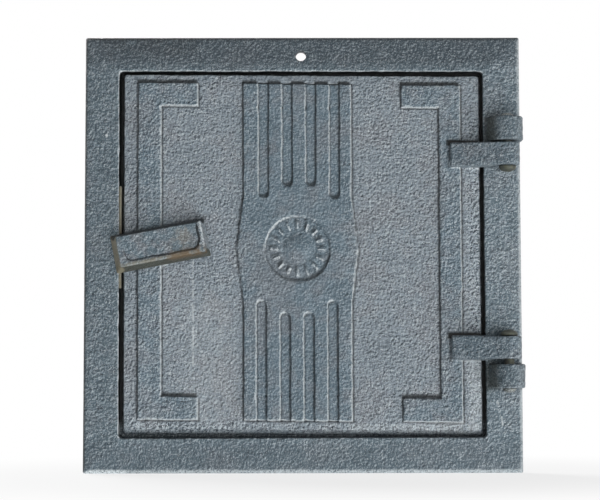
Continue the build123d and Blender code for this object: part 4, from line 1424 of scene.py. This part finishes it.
def handle_face(x, z):
    """Y of the handle's front, and what its iron carries: flat, with a scoop that deepens
    evenly towards its lower right, times the soft step of the distance inside the scoop's
    rounded rectangle. Painted shade lies at the scoop's foot."""
    k = bpy.context.scene.door_latch
    left, right, low, high = handle_sides()
    points = np.stack([x, np.zeros_like(x), z], axis=-1)
    ragged = 0.35 * MM * lumps(points, 2.6 * MM, 91) + 0.2 * MM * lumps(points, 1.2 * MM, 92)
    scoop = rounded_inside(x, z, left + k.scoop_left, right - k.scoop_rim, low + k.scoop_rim,
                           high + 4 * MM, k.scoop_corner)
    along = (x - left) / (right - left)
    down = (high - z) / (high - low)
    depth = k.scoop_depth * np.clip(-0.12 + 0.7 * along + 0.38 * down, 0, 1)
    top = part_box("latch_handle")[0].y
    inside = soft_step(-0.3 * MM, 0.7 * MM, scoop + ragged)
    rough = np.minimum(0.8 * skin(points, 93), 0.1 * MM)
    foot = np.exp(-((scoop + ragged + 0.1 * MM) / (0.55 * MM)) ** 2) * (high - z > 3 * MM)
    return top + 0.12 * MM + depth * inside - rough, {"raised": 1 - inside, "sooty": foot * along}


def threaded_bar(radius, low, high, pitch):
    """A bar along Y with a thread: its radius falls by a cosine of the turns counted along
    it less the share of the turn round it."""
    depth = 0.3 * MM
    levels = np.linspace(low, high, int((high - low) / (0.12 * MM)))[:, None]
    angles = np.linspace(0, 2 * pi, 48, endpoint=False)[None, :]
    phase = 2 * pi * levels / pitch - angles
    ease = soft_step(high, high - pitch, levels)
    r = radius - depth * (0.5 - 0.5 * np.cos(phase)) - depth * (1 - ease)
    wall = np.stack([r * np.cos(angles), np.broadcast_to(levels, r.shape),
                     r * np.sin(angles)], axis=-1)
    ends = [np.tile([[0.0, level, 0.0]], (48, 1)) for level in (low, high)]
    return np.concatenate([ends[0][None], wall, ends[1][None]])


class STOVE_OT_latch_handle(bpy.types.Operator):
    """Build the latch's handle with its scooped face, round shank and threaded end"""
    bl_idname = "stove_door.latch_handle"
    bl_label = "Latch handle"

    def execute(self, context):
        k = context.scene.door_latch
        back = -context.scene.door_frame.arris_height - k.handle_gap
        left, right, low, high = handle_sides()
        drafts = (k.draft_left, k.draft_right, k.draft_bottom, k.draft_top)
        body, faces, values = plate(crowded(left, right, k.grid), crowded(low, high, k.grid),
                                    drafts, 0.8 * MM, k.edge, k.grid, back, handle_face)
        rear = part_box("latch_handle")[1].y
        shank = turned_bar((0, 0), [(0, back - SUNK), (k.shank_radius, back - SUNK),
                                    (k.shank_radius, cam_front()), (0, cam_front())], 56, "Y")
        stud = threaded_bar(k.stud_radius, cam_front() - SUNK, rear, k.thread_pitch)
        shells = [(tilted(body), faces, values), ring_shell(tilted(shank)), ring_shell(tilted(stud))]
        finished_piece("handle_casting", shells, latch_iron("cast_iron_latch"), "latch",
                       "latch_handle")
        return {"FINISHED"}


def cam_outline():
    """The cam's hub and nose: an arc of the hub, two straight sides and the round tip, turned
    down from the handle's left end by the cam's offset."""
    k = bpy.context.scene.door_latch
    half = k.nose_width / 2
    leaves = asin(half / k.cam_hub)
    tip = k.nose_reach - half
    shape = np.vstack([arc((0, 0), k.cam_hub, -pi + leaves, pi - leaves, 60),
                       arc((-tip, 0), half, pi / 2, 3 * pi / 2, 24)])
    c, s = cos(k.cam_offset), sin(k.cam_offset)
    shape = shape @ np.array([[c, s], [-s, c]])
    return softened(shape, 0.5 * MM, 0.7 * MM)


def nut_rings(low, high, flats, bore):
    """A six-sided nut whose corners are cut by a cone of 30 degrees at its outer face."""
    corners = circle((0, 0), flats / 2 / cos(pi / 6), 6)
    rings = prism(softened(corners, 0.35 * MM, 0.35 * MM), low, high, 0.2 * MM, 0.5 * MM, "Y",
                  hole=((0, 0), bore))
    over = np.maximum(np.hypot(rings[..., 0], rings[..., 2]) - 0.96 * flats / 2, 0)
    rings[..., 1] = np.clip(rings[..., 1], low + 0.58 * over, high - 0.58 * over)
    return rings


class STOVE_OT_latch_fastening(bpy.types.Operator):
    """Build the washer, the cam and the nut behind the leaf"""
    bl_idname = "stove_door.latch_fastening"
    bl_label = "Washer, cam and nut"

    def execute(self, context):
        k = context.scene.door_latch
        front, back = cam_front(), cam_front() + k.cam_thickness
        round_shank = ((0, 0), k.shank_radius + SHANK_PLAY)
        washer = prism(circle((0, 0), k.washer_radius, 64), front - k.washer_thickness, front,
                       0.25 * MM, 0.5 * MM, "Y", hole=round_shank)
        cam = prism(cam_outline(), front, back, 0.7 * MM, 0.8 * MM, "Y",
                    hole=((0, 0), k.stud_radius), caps=8)
        nut = nut_rings(back, back + k.nut_height, k.nut_flats, k.stud_radius - 0.1 * MM)
        iron = latch_iron("cast_iron_cam")
        steel = worn_steel("fastener_steel", bpy.context.scene.door_colours.steel, 0.55, 0.3)
        cam = roughened(cam, 95, 0.6, closed=True)
        cam[..., 1] = np.clip(cam[..., 1], front, back)
        for name, rings, material, slot, node in (
                ("washer", washer, steel, "fastener_steel", "latch_washer"),
                ("cam_casting", cam, iron, "cast_iron_latch", "latch_cam"),
                ("hex_nut", nut, steel, "fastener_steel", "latch_nut")):
            finished_piece(name, [ring_shell(tilted(rings), closed=True)], material, "latch",
                           node)
        return {"FINISHED"}


def area_lamp(name, place, size, power):
    """A square lamp that faces the door and isn't seen itself. Its rays go through the floor,
    which a ray from the surface would not, so only the lamp is sampled."""
    lamp = bpy.data.lights.new(name, "AREA")
    lamp.size, lamp.energy = size, power
    lamp_object = bpy.data.objects.new(name, lamp)
    lamp_object.location = place
    lamp_object.rotation_euler = (-Vector(place)).to_track_quat("-Z", "Y").to_euler()
    lamp.cycles.use_multiple_importance_sampling = False
    lamp_object.visible_camera = False
    bpy.context.scene.collection.objects.link(lamp_object)


def room_world(strength):
    """Even light from all round, seen as white by the camera and in reflections."""
    world = bpy.data.worlds.new("studio_world")
    world.use_nodes = True
    tree = world.node_tree
    tree.nodes.clear()
    path = tree.nodes.new("ShaderNodeLightPath")
    white, lit = tree.nodes.new("ShaderNodeBackground"), tree.nodes.new("ShaderNodeBackground")
    lit.inputs["Strength"].default_value = strength
    lit.inputs["Color"].default_value = (1, 1, 1, 1)
    white.inputs["Color"].default_value = (1, 1, 1, 1)
    seen = None
    for ray in ("Is Camera Ray", "Is Glossy Ray", "Is Transmission Ray"):
        if seen is None:
            seen = path.outputs[ray]
            continue
        most = tree.nodes.new("ShaderNodeMath")
        most.operation = "MAXIMUM"
        tree.links.new(seen, most.inputs[0])
        tree.links.new(path.outputs[ray], most.inputs[1])
        seen = most.outputs[0]
    mix, output = tree.nodes.new("ShaderNodeMixShader"), tree.nodes.new("ShaderNodeOutputWorld")
    tree.links.new(seen, mix.inputs[0])
    tree.links.new(lit.outputs[0], mix.inputs[1])
    tree.links.new(white.outputs[0], mix.inputs[2])
    tree.links.new(mix.outputs[0], output.inputs["Surface"])
    bpy.context.scene.world = world


def floor_material(tone, floor_glow):
    """A pale floor that keeps the shadow near the door and fades to white further off."""
    f = Finish("studio_floor")
    away = f.node("ShaderNodeVectorMath", {"operation": "LENGTH"}, {0: f.place}, "Value")
    seen = f.node("ShaderNodeLightPath", {}, {}, "Is Camera Ray")
    matt = f.node("ShaderNodeBsdfDiffuse", {}, {"Color": (*tone, 1)})
    glow = f.node("ShaderNodeEmission", {}, {"Color": (1, 1, 1, 1), "Strength": 1.0})
    white = (floor_glow + (1 - floor_glow) * away.step(170.0, 420.0)) * seen
    mixed = f.node("ShaderNodeMixShader", {}, {0: white, 1: matt, 2: glow})
    output = f.tree.nodes.new("ShaderNodeOutputMaterial")
    f.tree.links.new(mixed.socket, output.inputs["Surface"])
    return f.material


class STOVE_OT_stage(bpy.types.Operator):
    """Set up the floor, the lamps, the room's light and the camera"""
    bl_idname = "stove_door.stage"
    bl_label = "Stage"

    def execute(self, context):
        s = context.scene.door_stage
        reach = 3.0
        corners = [(x * reach, y * reach, FRAME_LOW.z) for x, y in ((-1, -1), (1, -1), (1, 1), (-1, 1))]
        mesh = bpy.data.meshes.new("floor")
        mesh.from_pydata(corners, [], [(0, 1, 2, 3)])
        floor = bpy.data.objects.new("floor", mesh)
        mesh.materials.append(floor_material(s.floor_tone, s.floor_glow))
        floor.visible_shadow = False
        context.scene.collection.objects.link(floor)
        area_lamp("key_lamp", (0.68, -0.95, -0.74), 2.0, s.key_power)
        area_lamp("fill_lamp", (-0.60, -0.90, 0.90), 0.9, s.fill_power)
        area_lamp("back_lamp", (-0.70, 1.00, 0.80), 0.8, s.back_power)
        room_world(s.room_light)
        camera = bpy.data.cameras.new("photo_camera")
        camera.lens, camera.sensor_width = s.lens, 36.0
        holder = bpy.data.objects.new("photo_camera", camera)
        context.scene.collection.objects.link(holder)
        place, aim = Vector(s.camera_place), Vector(s.camera_aim)
        facing = (aim - place).to_track_quat("-Z", "Y").to_matrix().to_4x4()
        holder.matrix_world = Matrix.Translation(place) @ facing @ Matrix.Rotation(
            s.camera_roll, 4, "Z")
        context.scene.camera = holder
        context.scene.view_settings.view_transform = "Standard"
        return {"FINISHED"}


class STOVE_PT_panel(bpy.types.Panel):
    """The door's pieces, in the order in which they are built"""
    bl_label = "Stove door"
    bl_idname = "STOVE_PT_panel"
    bl_space_type = "VIEW_3D"
    bl_region_type = "UI"
    bl_category = "Stove door"

    def draw(self, context):
        for operator in OPERATORS:
            self.layout.operator(operator.bl_idname)


GROUPS = {"door_frame": FrameSizes, "door_leaf": LeafSizes, "door_hinges": HingeSizes,
          "door_latch": LatchSizes, "door_colours": FinishColours, "door_stage": StageSettings}
OPERATORS = (STOVE_OT_frame_casting, STOVE_OT_leaf_casting, STOVE_OT_hinge_rivets,
             STOVE_OT_latch_handle, STOVE_OT_latch_fastening, STOVE_OT_stage)


def register():
    for made in (*GROUPS.values(), *OPERATORS, STOVE_PT_panel):
        bpy.utils.register_class(made)
    for name, group in GROUPS.items():
        setattr(bpy.types.Scene, name, PointerProperty(type=group))


def unregister():
    for name in GROUPS:
        delattr(bpy.types.Scene, name)
    for made in (STOVE_PT_panel, *reversed(OPERATORS), *reversed(GROUPS.values())):
        bpy.utils.unregister_class(made)


def main():
    register()
    bpy.ops.stove_door.frame_casting()
    bpy.ops.stove_door.leaf_casting()
    bpy.ops.stove_door.hinge_rivets()
    bpy.ops.stove_door.latch_handle()
    bpy.ops.stove_door.latch_fastening()
    bpy.ops.stove_door.stage()


if __name__ == "__main__":
    main()
